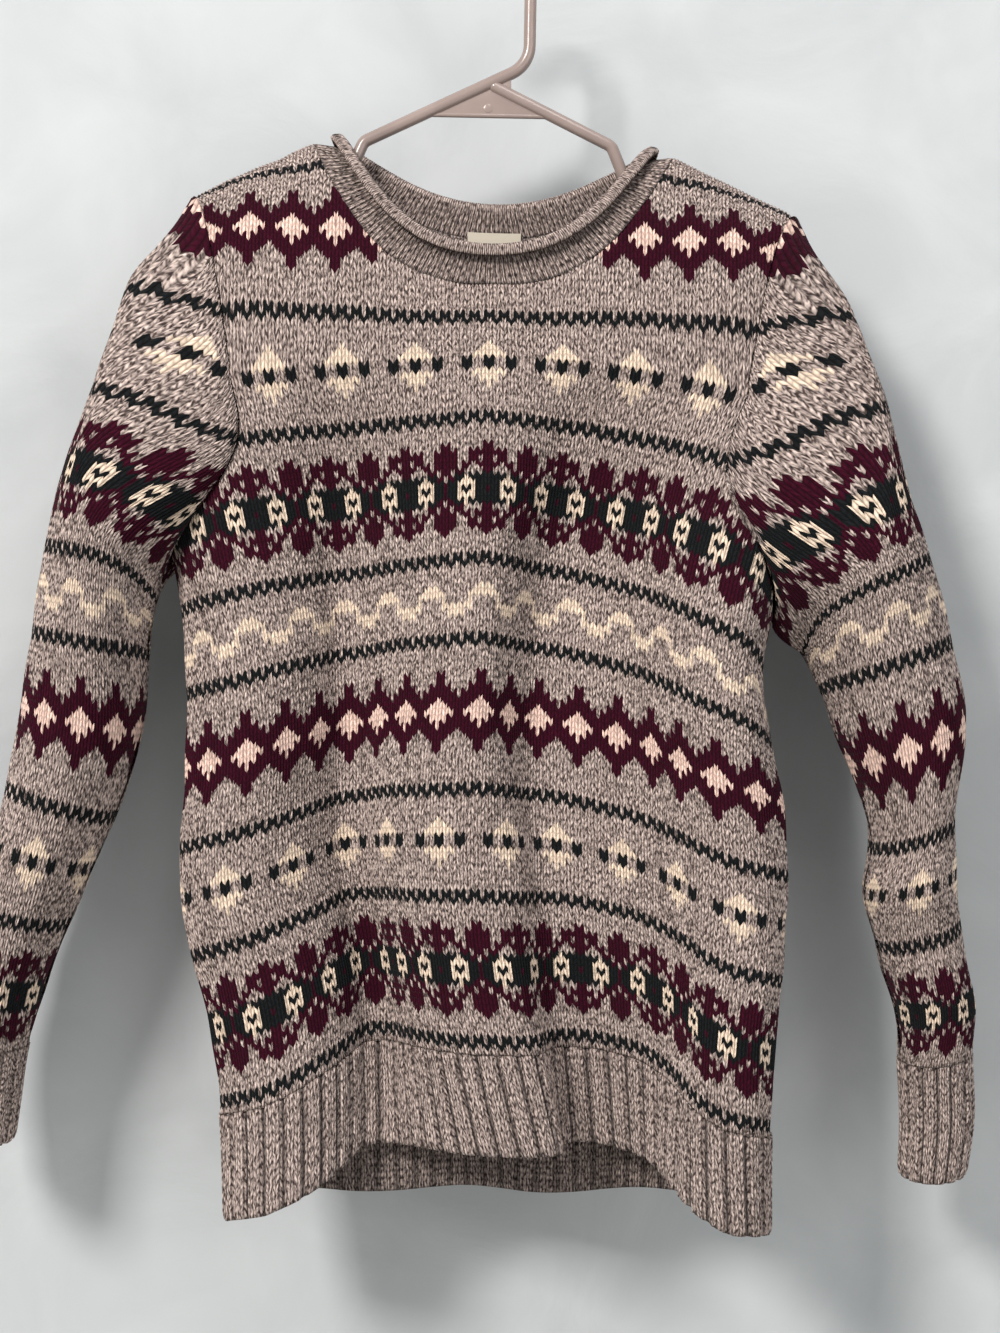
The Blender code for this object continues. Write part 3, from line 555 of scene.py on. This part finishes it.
wool = Look("wool", Roughness=0.92, Specular_IOR_Level=0.05, Sheen_Weight=0.03, Sheen_Roughness=0.6)
stitch = wool.node("UVMap", {"uv_map": "stitches"}, {})
across = wool.node("SeparateXYZ", {}, {0: stitch}, 0)
upward = wool.node("SeparateXYZ", {}, {0: stitch}, 1)
off_centre = (((across + 0.5).math("FRACT")) - 0.5).math("ABSOLUTE")
leg = (off_centre * (2 * math.pi)).math("SINE")
course = (upward.math("FRACT") * math.pi).math("SINE")
ply = ((upward * 2 + off_centre * 3) * (2 * math.pi)).math("SINE")
place = wool.node("TexCoord", {}, {}, "Object")
fibre = wool.node("TexNoise", {}, {"Vector": place, "Scale": 1500.0, "Detail": 3.0,
                                   "Roughness": 0.65}, 0)
felt = wool.node("TexNoise", {}, {"Vector": place, "Scale": 420.0, "Detail": 2.0}, 0)
# painted shade: the colour darkens to 0.30 of itself in the groove between a stitch's legs, and
# less between rows, where the relief is low; the fibre and felt noise vary its tone at random
rounding = leg.math("MAXIMUM", 0.0).math("POWER", 0.7) * (0.5 + 0.5 * course)
shade = (0.30 + 0.86 * rounding) * (0.62 + 0.5 * fibre + 0.25 * felt)
ply_map = wool.node("CombineXYZ", {}, {0: across * 4.0, 1: upward * 1.35})
fleck = wool.node("TexNoise", {}, {"Vector": ply_map, "Scale": 1.0, "Detail": 1.0}, 0)
light_ply = ((fleck - 0.38) * 4.5).math("MAXIMUM", 0.0).math("MINIMUM", 1.0)
yarn = wool.node("Attribute", {"attribute_name": "yarn"}, {}, "Color")
marled = wool.node("Attribute", {"attribute_name": "yarn"}, {}, "Alpha")
yarn = wool.node("Mix", {"data_type": "RGBA"},
                 {"Factor": light_ply * marled, 6: yarn, 7: MARL_LIGHT}, 2)
relief = rounding * 0.8 + ply * 0.06 + fibre * 0.5
bump = wool.node("Bump", {}, {"Strength": 0.85, "Distance": 0.001, "Height": relief})
WOOL = wool.finish(Base_Color=wool.shaded(yarn, shade), Normal=bump)


def dress(made, look, slot, *nodes):
    """Gives a finished piece its material and its body, and hides the nodes it stands for. The slot
    argument is not used.
    """
    made.data.materials.append(look)
    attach(made, "root")
    if nodes:
        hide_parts(*nodes)
    return made


def cut_area(trim, wales, rows, gauge):
    """Area of a flat cut, in square metres, counted stitch by stitch."""
    s, t = np.meshgrid(np.arange(wales[0] + 0.5, wales[1]), np.arange(rows[0] + 0.5, rows[1]))
    cut_s, cut_t, _ = trim(s.ravel(), t.ravel())
    inside = np.hypot(cut_s - s.ravel(), cut_t - t.ravel()) < 0.01
    return inside.sum() * gauge * ROW * MM * MM


FLAT_GAUGE = 4.4
PANEL_WALES = (-HALF_BODY, HALF_BODY)
PANEL_ROWS = (WELT_ROWS, SHOULDER_NECK)
body_chart = pattern(BANDS)
# under the neck the front leaves out the tips of its top stars
TIP_ROWS = 4
TIP_WALES = 15
first_star = BANDS[-2][0]
front_chart = body_chart.copy()
front_chart[first_star:first_star + TIP_ROWS, WALES - TIP_WALES:WALES + TIP_WALES + 1] = "."
for name, cloth, outward, scoop, chart in (
        ("front_knit", front_map, 1, FRONT_NECK, front_chart),
        ("back_knit", back_map, -1, BACK_NECK, body_chart)):
    trim = panel_trim(scoop)
    made = knit(name, PANEL_WALES, PANEL_ROWS, laid_on(cloth, outward), trim, plain_height,
                dyed(chart), turned=outward < 0)
    dress(made, WOOL, "wool", name.split("_")[0])
    cut_area(trim, PANEL_WALES, PANEL_ROWS, FLAT_GAUGE)


# ==== Welts ==============================================================================
# A ribbed band on the lower edge of each panel, two plain stitches and a purl one, knitted
# first in the same marled wool. Its ribs stand out over narrow grooves, darkened by painted shade.
RIB = 3
GROOVE = -1.3
RIB_HEIGHT = 2.0


def rib_height(s, t, edge):
    """Two raised stitches, then a groove one stitch wide."""
    groove = np.abs((s + RIB / 2) % RIB - RIB / 2)
    raised = np.clip((groove - 0.2) / 0.45, 0, 1)
    raised = raised * raised * (3 - 2 * raised)
    return GROOVE + RIB_HEIGHT * raised + 0.55 * raised * legs(s) - np.exp(-(edge / 0.5) ** 2)


def rib_dye(wale, row, lining):
    groove = np.abs((wale + RIB / 2) % RIB - RIB / 2)
    # painted shade: the grooves between the ribs are darkened to 0.2 of the colour
    unshaded_rib = np.clip((groove - 0.05) / 0.5, 0, 1)[:, None]
    colour = marl(len(wale), 0.2 + 0.8 * unshaded_rib)
    # painted shade on the inside of the rib
    colour[lining] *= 0.6
    return colour


def band_trim(top):
    def trim(s, t):
        return s, t, t + 0.2
    return trim


WELT_SPAN = (0, WELT_ROWS)
for name, cloth, outward in (("front_welt_knit", front_map, 1), ("back_welt_knit", back_map, -1)):
    made = knit(name, PANEL_WALES, WELT_SPAN, laid_on(cloth, outward), band_trim(WELT_ROWS),
                rib_height, rib_dye, turned=outward < 0, lined=2)
    dress(made, WOOL, "ribbing", name[:-5])
    "front_knit" if outward > 0 else "back_knit"


# ==== Sleeves ============================================================================
# Two tapered tubes in the same stranded knitting, increased at the underarm and set into
# the armholes with a shallow cap. They hang beside the body and fold a little at the elbow.
SLEEVE_CUFF_ROWS = 20
CUFF_STITCHES = 45
SLEEVE_STITCHES = 74
CAP_TOP = 151
EASED_ROW = 144         # the cap is eased into the armhole above this row
# row | centre x, y, z | half width | half depth | slope of the row
LEFT_SLEEVE = (
    (0, -329, -6, -756, 21, 34, 6), (10, -328, -4, -724, 24, 37, 8),
    (20, -325, -2, -694, 25, 42, 10), (30, -315, -2, -656, 26, 48, 12),
    (41, -301, -2, -612, 28, 52, 14), (58, -277, -2, -540, 33, 54, 18),
    (70, -264, -2, -489, 37, 55, 14), (82, -258, -2, -438, 36, 58, 11),
    (95, -250, -4, -384, 34, 60, 12), (104, -241, -6, -346, 34, 56, 16),
    (118, -219, -10, -290, 36, 44, 20), (135, -206, -8, -226, 29, 30, 22),
    (151, -202, 2, -160, 16, 18, 20),
)
RIGHT_SLEEVE = (
    (0, 283, -8, -778, 20, 34, 6), (10, 287, -4, -740, 22, 36, 8),
    (20, 286, -2, -704, 22, 41, 10), (30, 285, -4, -668, 24, 46, 12),
    (36, 279, -2, -646, 25, 50, 14), (41, 275, -2, -626, 25, 48, 17),
    (50, 269, -4, -592, 28, 54, 16), (58, 271, -2, -562, 25, 52, 20),
    (70, 268, -2, -506, 36, 54, 20), (82, 254, -2, -452, 41, 56, 20),
    (95, 240, -10, -402, 40, 58, 24), (104, 230, -18, -371, 38, 52, 26),
    (118, 217, -10, -306, 36, 44, 26), (135, 209, -8, -242, 25, 30, 22),
    (151, 208, 0, -176, 13, 18, 20),
)


def cap_row(s):
    """Top row of a sleeve at s stitches from its top line."""
    reach = np.clip(1 - np.abs(s) / (SLEEVE_STITCHES / 2), 0, 1)
    return UNDERARM + (CAP_TOP - UNDERARM) * reach ** 1.33


def body_row(t):
    """Row of the body's armhole that a row of the sleeve cap is sewn to."""
    eased = EASED_ROW + (t - EASED_ROW) * (SHOULDER_TIP - EASED_ROW) / (CAP_TOP - EASED_ROW)
    return np.where(t < EASED_ROW, t, eased)


def sleeve_rings(table, turn, t):
    """A place on the sleeve's plain rings. turn runs from 0 on the body's side, over the
    front, to 0.5 on the outer side."""
    table = np.array(table, float)
    row = spline_weights(table[:, 0], t) @ table[:, 1:]
    x, y, z, wide, deep, slope = np.moveaxis(row, -1, 0)
    side = np.sign(table[0, 1])
    inward = np.cos(2 * np.pi * turn)
    return np.stack([x - side * wide * inward,
                     y - deep * np.sin(2 * np.pi * turn),
                     z - wide * np.tan(np.radians(slope)) * inward], axis=-1)


# rows over which a sleeve is drawn to its armhole
UNDERARM_REACH = 9
CAP_REACH = 26
WIDER_ROWS = 20         # rows above the underarm in which the one grows to the other
SHORTER_FROM = 135      # row from which the reach shortens, and by how much at the top
TOP_SHORTER = 12


def sleeve_map(table, turn, t):
    """Where a sleeve lies: its rings, drawn to the armhole near the seam."""
    turn, t = np.broadcast_arrays(np.asarray(turn, float) % 1, np.asarray(t, float))
    side = np.sign(table[0][1])
    top = cap_row(SLEEVE_STITCHES * np.abs(turn - 0.5))
    row = body_row(top)
    edge = side * panel_half(row)
    goal = np.where((turn < 0.5)[..., None], front_map(edge, row), back_map(edge, row))
    pull = goal - sleeve_rings(table, turn, top)
    shorter = TOP_SHORTER * np.clip((top - SHORTER_FROM) / (CAP_TOP - SHORTER_FROM), 0, 1)
    wider = (CAP_REACH - UNDERARM_REACH) * np.clip((top - UNDERARM) / WIDER_ROWS, 0, 1)
    sideways = UNDERARM_REACH + wider - shorter
    reach = np.stack([sideways, sideways, CAP_REACH - shorter], axis=-1)
    near = np.clip(1 - (top - t)[..., None] / reach, 0, 1)
    return sleeve_rings(table, turn, t) + pull * near ** 2 * (3 - 2 * near)


def stitches_round(t):
    """Stitches in a round of the sleeve: it widens from the cuff to the underarm."""
    return np.interp(t, (SLEEVE_CUFF_ROWS, UNDERARM), (CUFF_STITCHES, SLEEVE_STITCHES))


def laid_round(table, count):
    """Lays stitches round a sleeve. Its middle wale lies on the outer side."""
    side = np.sign(table[0][1])

    def lay(s, t):
        turn = 0.5 + side * s / count(t)
        forward = sleeve_map(table, turn + 0.006, t) - sleeve_map(table, turn - 0.006, t)
        upward = sleeve_map(table, turn, t + 0.5) - sleeve_map(table, turn, t - 0.5)
        return sleeve_map(table, turn, t), unit(np.cross(forward, upward)) * side
    return lay


def sleeve_trim(s, t):
    half = stitches_round(t) / 2
    s = np.clip(s, -half, half)
    top = cap_row(s)
    t = np.minimum(t, np.maximum(top, UNDERARM))
    return s, t, top - t + np.where(t < UNDERARM, 9, 0)


SLEEVE_BANDS = tuple(band for band in BANDS if band[0] > SLEEVE_CUFF_ROWS)
sleeve_dye = dyed(pattern(SLEEVE_BANDS))
half_sleeve = SLEEVE_STITCHES // 2
for side_name, table in (("left", LEFT_SLEEVE), ("right", RIGHT_SLEEVE)):
    made = knit("sleeve_" + side_name + "_knit", (-half_sleeve, half_sleeve),
                (SLEEVE_CUFF_ROWS, CAP_TOP), laid_round(table, stitches_round), sleeve_trim,
                plain_height, sleeve_dye)
    dress(made, WOOL, "wool", "sleeve_" + side_name)
    cut_area(sleeve_trim, (-half_sleeve, half_sleeve),
                           (SLEEVE_CUFF_ROWS, CAP_TOP), FLAT_GAUGE)


# ==== Cuffs ==============================================================================
# The ribbed end of each sleeve, knitted in one with it in the same rib as the welts. The
# ribs draw it in, and it hangs open.
def cuff_count(t):
    return np.full_like(t, CUFF_STITCHES)


def cuff_height(s, t, edge):
    return rib_height(s + CUFF_STITCHES / 2, t, edge)


def cuff_dye(wale, row, lining):
    # painted shade in the rib grooves and on the inside, as on the welts
    return rib_dye(wale + CUFF_STITCHES / 2, row, lining)


for side_name, table in (("left", LEFT_SLEEVE), ("right", RIGHT_SLEEVE)):
    made = knit("cuff_" + side_name + "_knit", (-CUFF_STITCHES / 2, CUFF_STITCHES / 2),
                (0, SLEEVE_CUFF_ROWS), laid_round(table, cuff_count), band_trim(SLEEVE_CUFF_ROWS),
                cuff_height, cuff_dye, lined=2)
    dress(made, WOOL, "ribbing", "cuff_" + side_name)


# ==== Neckband ===========================================================================
# A ribbed stand picked up round the neck, and an edge of plain stocking stitch that curls
# outward on itself and shows its purl side. It is knitted in the same marled wool.
BAND_WALL = 2.8
BAND_STAND = 15
ROLL_RADIUS = 4.6
NECK_COLUMNS = 12
BAND_STITCHES = 184
BAND_SECTIONS = 44
ROLL_TURN = math.radians(225)
PURL_RIDGES = 5
half_neck = NECK_HALF * np.sin(np.linspace(0, np.pi / 2, NECK_COLUMNS + 1)[1:]) ** 0.87
neck_stations = np.concatenate([-half_neck[::-1], [0], half_neck])


def neck_seam():
    """The neck edge: along the front from left to right, and back along the back."""
    places, normals = [], []
    for cloth, outward, scoop in ((front_map, 1, FRONT_NECK), (back_map, -1, BACK_NECK)):
        place, normal = laid_on(cloth, outward)(neck_stations, neck_row(neck_stations, scoop))
        places.append(place)
        normals.append(normal)
    place = np.concatenate([places[0], places[1][-2:0:-1]])
    shared = np.concatenate([normals[0], normals[1][-2:0:-1]])
    for corner, end in ((0, 0), (2 * NECK_COLUMNS, -1)):
        shared[corner] = unit(normals[0][end] + normals[1][end])
    along = np.roll(place, -1, axis=0) - np.roll(place, 1, axis=0)
    return place, shared, unit(np.cross(shared, along))


def softened(values):
    for _ in range(8):
        values = (np.roll(values, 1, axis=0) + 2 * values + np.roll(values, -1, axis=0)) / 4
    return values


seam_place, seam_normal, seam_inward = neck_seam()
stand_top = softened(seam_place + seam_inward * BAND_STAND)
band_normal = unit(softened(seam_normal))
band_inward = unit(softened(seam_inward))


def round_neck(values, turn):
    """Values at the neck's stations, read smoothly at any turn round the neck."""
    wrapped = np.concatenate([values[-4:], values, values[:5]])
    length = np.linalg.norm(np.diff(np.concatenate([seam_place, seam_place[:1]]), axis=0), axis=1)
    at = np.concatenate([[0], np.cumsum(length)]) / length.sum()
    knots = np.concatenate([at[-5:-1] - 1, at[:-1], at[:5] + 1])
    return spline_weights(knots, turn) @ wrapped


def band_lay(turn, travel, inner):
    """A place on the band. travel runs from 0 at the seam to 1 where the roll starts, and
    then up to 2 at its free edge."""
    base, top = round_neck(seam_place, turn), round_neck(stand_top, turn)
    flat, deep = unit(round_neck(seam_normal, turn)), unit(round_neck(band_normal, turn))
    toward = unit(round_neck(band_inward, turn))
    share = np.clip(travel, 0, 1)[:, None]
    outward = unit(flat + (deep - flat) * share)
    stand = base + (top - base) * share
    angle = ROLL_TURN * np.clip(travel - 1, 0, 1)[:, None]
    centre = top + deep * (ROLL_RADIUS - BAND_WALL / 2)
    spoke = -deep * np.cos(angle) + toward * np.sin(angle)
    rolled = (travel > 1)[:, None]
    place = np.where(rolled, centre + spoke * (ROLL_RADIUS - BAND_WALL / 2), stand)
    normal = np.where(rolled, -spoke, outward)
    return place - normal * np.where(inner, BAND_WALL, 0)[:, None], normal


def neckband():
    """The band's closed section, carried round the neck: out along the face that is seen
    from the front, over the free edge, and back along the other face."""
    grid = bmesh.new()
    bmesh.ops.create_grid(grid, x_segments=BAND_STITCHES * FINE, y_segments=BAND_SECTIONS,
                          size=0.5)
    mesh = bpy.data.meshes.new("neckband_knit")
    grid.to_mesh(mesh)
    grid.free()
    flat = grid_places(mesh)
    loop = flat[:, 1] * 4
    inner = loop > 2
    travel = np.where(inner, 4 - loop, loop)
    turn = flat[:, 0] % 1
    place, normal = band_lay(turn, travel, inner)
    wale = flat[:, 0] * BAND_STITCHES
    ribbed = np.clip((1.08 - travel) / 0.1, 0, 1)
    purl = np.clip((travel - 1.0) / 0.1, 0, 1) * np.clip((2.02 - travel) / 0.08, 0, 1)
    ridges = 0.3 * np.cos(travel * 2 * np.pi * PURL_RIDGES) * purl
    height = 0.75 * np.cos(2 * np.pi * wale) * ribbed * np.clip(travel / 0.12, 0, 1) + ridges
    height += 0.25 * np.sin(4 * np.pi * wale + 6 * np.pi * travel) * purl
    facing = np.where(inner, -1, 1)[:, None]
    mesh.vertices.foreach_set("co", ((place + normal * facing * height[:, None]) * MM).ravel())
    corner, quads = grid_corners(mesh)
    low = ribbed[quads].mean(axis=1)
    # painted shade: the grooves between the ribs of the stand are darkened to 0.4 of the colour
    unshaded_crest = (0.5 + 0.5 * np.cos(2 * np.pi * wale[quads].mean(axis=1))) * low
    colour = marl(len(quads), ((1 - low) + low * (0.4 + 0.6 * unshaded_crest))[:, None])
    paint(mesh, corner, colour, wale, travel * 4)
    band = bmesh.new()
    band.from_mesh(mesh)
    bmesh.ops.remove_doubles(band, verts=band.verts, dist=JOINED)
    bmesh.ops.bridge_loops(band, edges=[e for e in band.edges if e.is_boundary])
    band.to_mesh(mesh)
    band.free()
    mesh.shade_smooth()
    return shown("neckband_knit", mesh)


made = dress(neckband(), WOOL, "ribbing", "neckband")
neck_length = np.linalg.norm(np.roll(seam_place, -1, axis=0) - seam_place, axis=1).sum()


# ==== Label ==============================================================================
# A short woven tape sewn flat over the seam at the inside of the back neck, left bare. It
# keeps its solid's shape and has a fine plain weave.
THREADS = 9000
tape = Look("tape", Roughness=0.8, Specular_IOR_Level=0.2)
place = tape.node("TexCoord", {}, {}, "Object")
weft = (tape.node("SeparateXYZ", {}, {0: place}, 2) * THREADS).math("SINE")
warp = (tape.node("SeparateXYZ", {}, {0: place}, 0) * THREADS).math("SINE")
weave = tape.node("Bump", {}, {"Strength": 0.4, "Distance": 0.0002, "Height": weft * warp})
cream = tape.node("RGB", {}, {})
cream.socket.default_value = (0.60, 0.53, 0.43, 1)
# painted shade of the weave: the cream darkens to 0.8 of itself where the weave's bump is low
TAPE = tape.finish(Base_Color=tape.shaded(cream, 0.9 + 0.1 * weft * warp), Normal=weave)
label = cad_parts["label"]
label.data.materials.clear()
label.data.materials.append(TAPE)


# ==== Hanger =============================================================================
# One plastic tube bent into a hook, two arms and a lower bar, with a thin web where the
# arms meet. It is injection moulded in a taupe plastic with a satin gloss.
HOOK_ROD = 3.6
HOOK_RADIUS = 26
HOOK_TIP = (-24.4, -13.5)
ARM_REACH = 187
BAR_HEIGHT = -190
WEB = ((-41, -98), (41, -98), (14.5, -86), (14.5, -72), (0, -79))
WEB_THICK = 2.4
EJECTOR_HEIGHT = -93.5
EJECTOR_RADIUS = 3


def rounded(corners, steps=10):
    """A route in the plane of the hanger. Each corner is x, z and its bend radius."""
    points = [Vector((corners[0][0], 0, corners[0][1]))]
    for before, (x, z, radius), after in zip(corners, corners[1:], corners[2:]):
        corner = Vector((x, 0, z))
        back = (Vector((before[0], 0, before[1])) - corner).normalized()
        ahead = (Vector((after[0], 0, after[1])) - corner).normalized()
        half = back.angle(ahead) / 2
        centre = corner + (back + ahead).normalized() * radius / math.sin(half)
        start = (corner + back * radius / math.tan(half) - centre).normalized()
        end = (corner + ahead * radius / math.tan(half) - centre).normalized()
        points += [centre + radius * start.slerp(end, k / steps) for k in range(steps + 1)]
    points.append(Vector((corners[-1][0], 0, corners[-1][1])))
    return [p for p, q in zip(points, points[1:]) if (p - q).length > 0.1] + points[-1:]


def tube(route, radius, steps=5):
    """A round bar along a route with domed ends, as a mesh swept along a curve."""
    ends = (route[0] - route[1]).normalized(), (route[-1] - route[-2]).normalized()
    dome = [(math.sin(a) * radius, max(math.cos(a), 0.05)) for a in np.radians((88, 65, 45, 25))]
    stations = [(route[0] + ends[0] * out, size) for out, size in dome]
    stations += [(point, 1.0) for point in route]
    stations += [(route[-1] + ends[1] * out, size) for out, size in dome[::-1]]
    curve = bpy.data.curves.new("tube", "CURVE")
    curve.dimensions = "3D"
    curve.bevel_depth = radius
    curve.bevel_resolution = steps
    curve.use_fill_caps = True
    spline = curve.splines.new("POLY")
    spline.points.add(len(stations) - 1)
    for point, (place, size) in zip(spline.points, stations):
        point.co = (*place, 1)
        point.radius = size
    swept = shown("tube", curve)
    bpy.context.view_layer.update()
    mesh = bpy.data.meshes.new_from_object(swept)
    bpy.data.objects.remove(swept)
    return mesh


def plate(outline, thickness, edge):
    """A flat plate in the plane of the hanger, with softened edges."""
    bm = bmesh.new()
    face = bm.faces.new([bm.verts.new((x, -thickness / 2, z)) for x, z in outline])
    raised = bmesh.ops.extrude_face_region(bm, geom=[face])["geom"]
    moved = [item for item in raised if isinstance(item, bmesh.types.BMVert)]
    bmesh.ops.translate(bm, verts=moved, vec=(0, thickness, 0))
    bmesh.ops.recalc_face_normals(bm, faces=bm.faces)
    bmesh.ops.bevel(bm, geom=bm.edges[:], offset=edge, affect="EDGES", segments=2, profile=0.5,
                    material=-1)
    mesh = bpy.data.meshes.new("plate")
    bm.to_mesh(mesh)
    bm.free()
    return mesh


def arm(side):
    """Corners of an arm from the junction outward, round its end to the lower bar."""
    corners = [(NOTCH_X - 8, arm_line(NOTCH_X - 8), 8), (NOTCH_X + 3, arm_line(NOTCH_X) - 22, 6),
               (NOTCH_X + 24, arm_line(NOTCH_X + 24), 8), (ARM_REACH, arm_line(ARM_REACH), 6),
               (ARM_REACH - 1, BAR_HEIGHT, 7)]
    return [(side * x, z, radius) for x, z, radius in corners]


hook = [(*HOOK_TIP, 0), (HOOK_TIP[0] + 6.2, HOOK_ROD, HOOK_RADIUS),
        (HOOK_RADIUS, HOOK_ROD, HOOK_RADIUS),
        (HOOK_RADIUS, 2 * JUNCTION - arm_line(HOOK_RADIUS), 20)]
right_arm = arm(1)
disc = [(-EJECTOR_RADIUS * math.cos(a), EJECTOR_HEIGHT + EJECTOR_RADIUS * math.sin(a))
        for a in np.radians(range(0, 360, 20))]
ejector = plate(disc, WEB_THICK + 0.5, 0.2)
hanger = bmesh.new()
for part in (
        tube(rounded(hook + arm(-1) + right_arm[::-1][:2] + [(150, arm_line(150), 0)]), TUBE),
        tube(rounded([(4, arm_line(4), 0)] + right_arm[:3] + [(152, arm_line(152), 0)]),
             TUBE - 0.1),
        plate(WEB, WEB_THICK, 0.4), ejector,
        tube([Vector((x, 0, WEB[0][1])) for x in (WEB[0][0], WEB[1][0])], 1.6)):
    hanger.from_mesh(part)
bmesh.ops.rotate(hanger, verts=hanger.verts, matrix=Matrix.Rotation(math.radians(TILT), 3, "Y"))
bmesh.ops.scale(hanger, verts=hanger.verts, vec=(MM, MM, MM))
bmesh.ops.recalc_face_normals(hanger, faces=hanger.faces)
mesh = bpy.data.meshes.new("hanger_moulded")
hanger.to_mesh(mesh)
hanger.free()
mesh.shade_smooth()
mesh.set_sharp_from_angle(angle=math.radians(40))
made = shown("hanger_moulded", mesh)

plastic = Look("plastic", Specular_IOR_Level=0.55, IOR=1.5)
place = plastic.node("TexCoord", {}, {}, "Object")
swirl = plastic.node("TexNoise", {}, {"Vector": place, "Scale": 35.0, "Detail": 3.0}, 0)
grain = plastic.node("TexNoise", {}, {"Vector": place, "Scale": 900.0, "Detail": 2.0}, 0)
TAUPES = ((0.3, (0.27, 0.205, 0.180)), (0.7, (0.32, 0.245, 0.215)))
taupe = plastic.node("ValToRGB", {"stops": TAUPES}, {0: swirl})
moulded = plastic.node("Bump", {}, {"Strength": 0.15, "Distance": 0.0002, "Height": grain})
dress(made, plastic.finish(Base_Color=taupe, Roughness=0.17 + 0.10 * grain, Normal=moulded),
      "plastic", "hanger")


# ==== Room ===============================================================================
# A plain plastered wall close behind the hanger, which is clear from its far side, a pale
# floor, and soft light from the upper left.
WALL_AT = (0, 0.085, -0.4)
FLOOR_AT = (0, -2.4, -1.4)
ROOM_HALF = 2.5
LIT_AT = Vector((0, 0, -0.45))
PLASTERS = ((0.35, (0.470, 0.483, 0.485)), (0.65, (0.530, 0.542, 0.542)))
# name | where | size | watts | colour
LIGHTS = (
    ("key", (-1.9, -3.1, 1.6), 0.9, 168, (1.0, 0.98, 0.96)),
    ("fill", (2.3, -3.0, 0.1), 2.2, 34, (0.97, 0.98, 1.0)),
    ("top", (0.3, -1.2, 1.3), 0.8, 13, (1.0, 1.0, 1.0)),
)


def plain(name, size, place, turned):
    bm = bmesh.new()
    bmesh.ops.create_grid(bm, x_segments=4, y_segments=4, size=size)
    bmesh.ops.rotate(bm, verts=bm.verts, matrix=Matrix.Rotation(turned, 3, "X"))
    bmesh.ops.translate(bm, verts=bm.verts, vec=place)
    mesh = bpy.data.meshes.new(name)
    bm.to_mesh(mesh)
    bm.free()
    made = shown(name, mesh)
    return made


plaster = Look("plaster", Roughness=0.75, Specular_IOR_Level=0.3)
place = plaster.node("TexCoord", {}, {}, "Object")
trowelled = plaster.node("TexNoise", {}, {"Vector": place, "Scale": 9.0, "Detail": 6.0,
                                          "Distortion": 0.6}, 0)
pale = plaster.node("ValToRGB", {"stops": PLASTERS}, {0: trowelled})
uneven = plaster.node("Bump", {}, {"Strength": 0.5, "Distance": 0.006, "Height": trowelled})
PLASTER = plaster.finish(Base_Color=pale, Normal=uneven)
# clear where it is met from its far side
rear = plaster.node("NewGeometry", {}, {}, "Backfacing")
clear = plaster.node("BsdfTransparent", {}, {}, "BSDF")
face = Wire(plaster, plaster.surface.outputs["BSDF"])
seen = plaster.node("MixShader", {}, {0: rear, 1: face, 2: clear}, "Shader")
plaster.feed(plaster.tree.nodes["Material Output"].inputs["Surface"], seen)
wall_made = plain("backdrop", ROOM_HALF, WALL_AT, math.pi / 2)
wall_made.data.materials.append(PLASTER)
floor = Look("floor", Roughness=0.8)
floor.surface.inputs["Base Color"].default_value = (0.62, 0.62, 0.60, 1)
floor_made = plain("floor", ROOM_HALF, FLOOR_AT, 0)
floor_made.data.materials.append(floor.material)

for name, place, size, power, colour in LIGHTS:
    light = bpy.data.lights.new(name, "AREA")
    light.size = size
    light.energy = power
    light.color = colour
    lamp = shown(name, light)
    lamp.location = place
    lamp.rotation_euler = (LIT_AT - Vector(place)).to_track_quat("-Z", "Y").to_euler()
world = bpy.data.worlds.new("room")
world.use_nodes = True
world.node_tree.nodes["Background"].inputs["Color"].default_value = (0.80, 0.85, 0.90, 1)
world.node_tree.nodes["Background"].inputs["Strength"].default_value = 0.30
bpy.context.scene.world = world

lens = bpy.data.cameras.new("camera")
lens.sensor_fit = "VERTICAL"
lens.sensor_height = 36
lens.lens = 56.44
camera = shown("camera", lens)
camera.location = (0.0058, -1.350, -0.4538)
camera.rotation_euler = (math.pi / 2, 0, 0)
bpy.context.scene.camera = camera
bpy.context.scene.view_settings.view_transform = "Standard"
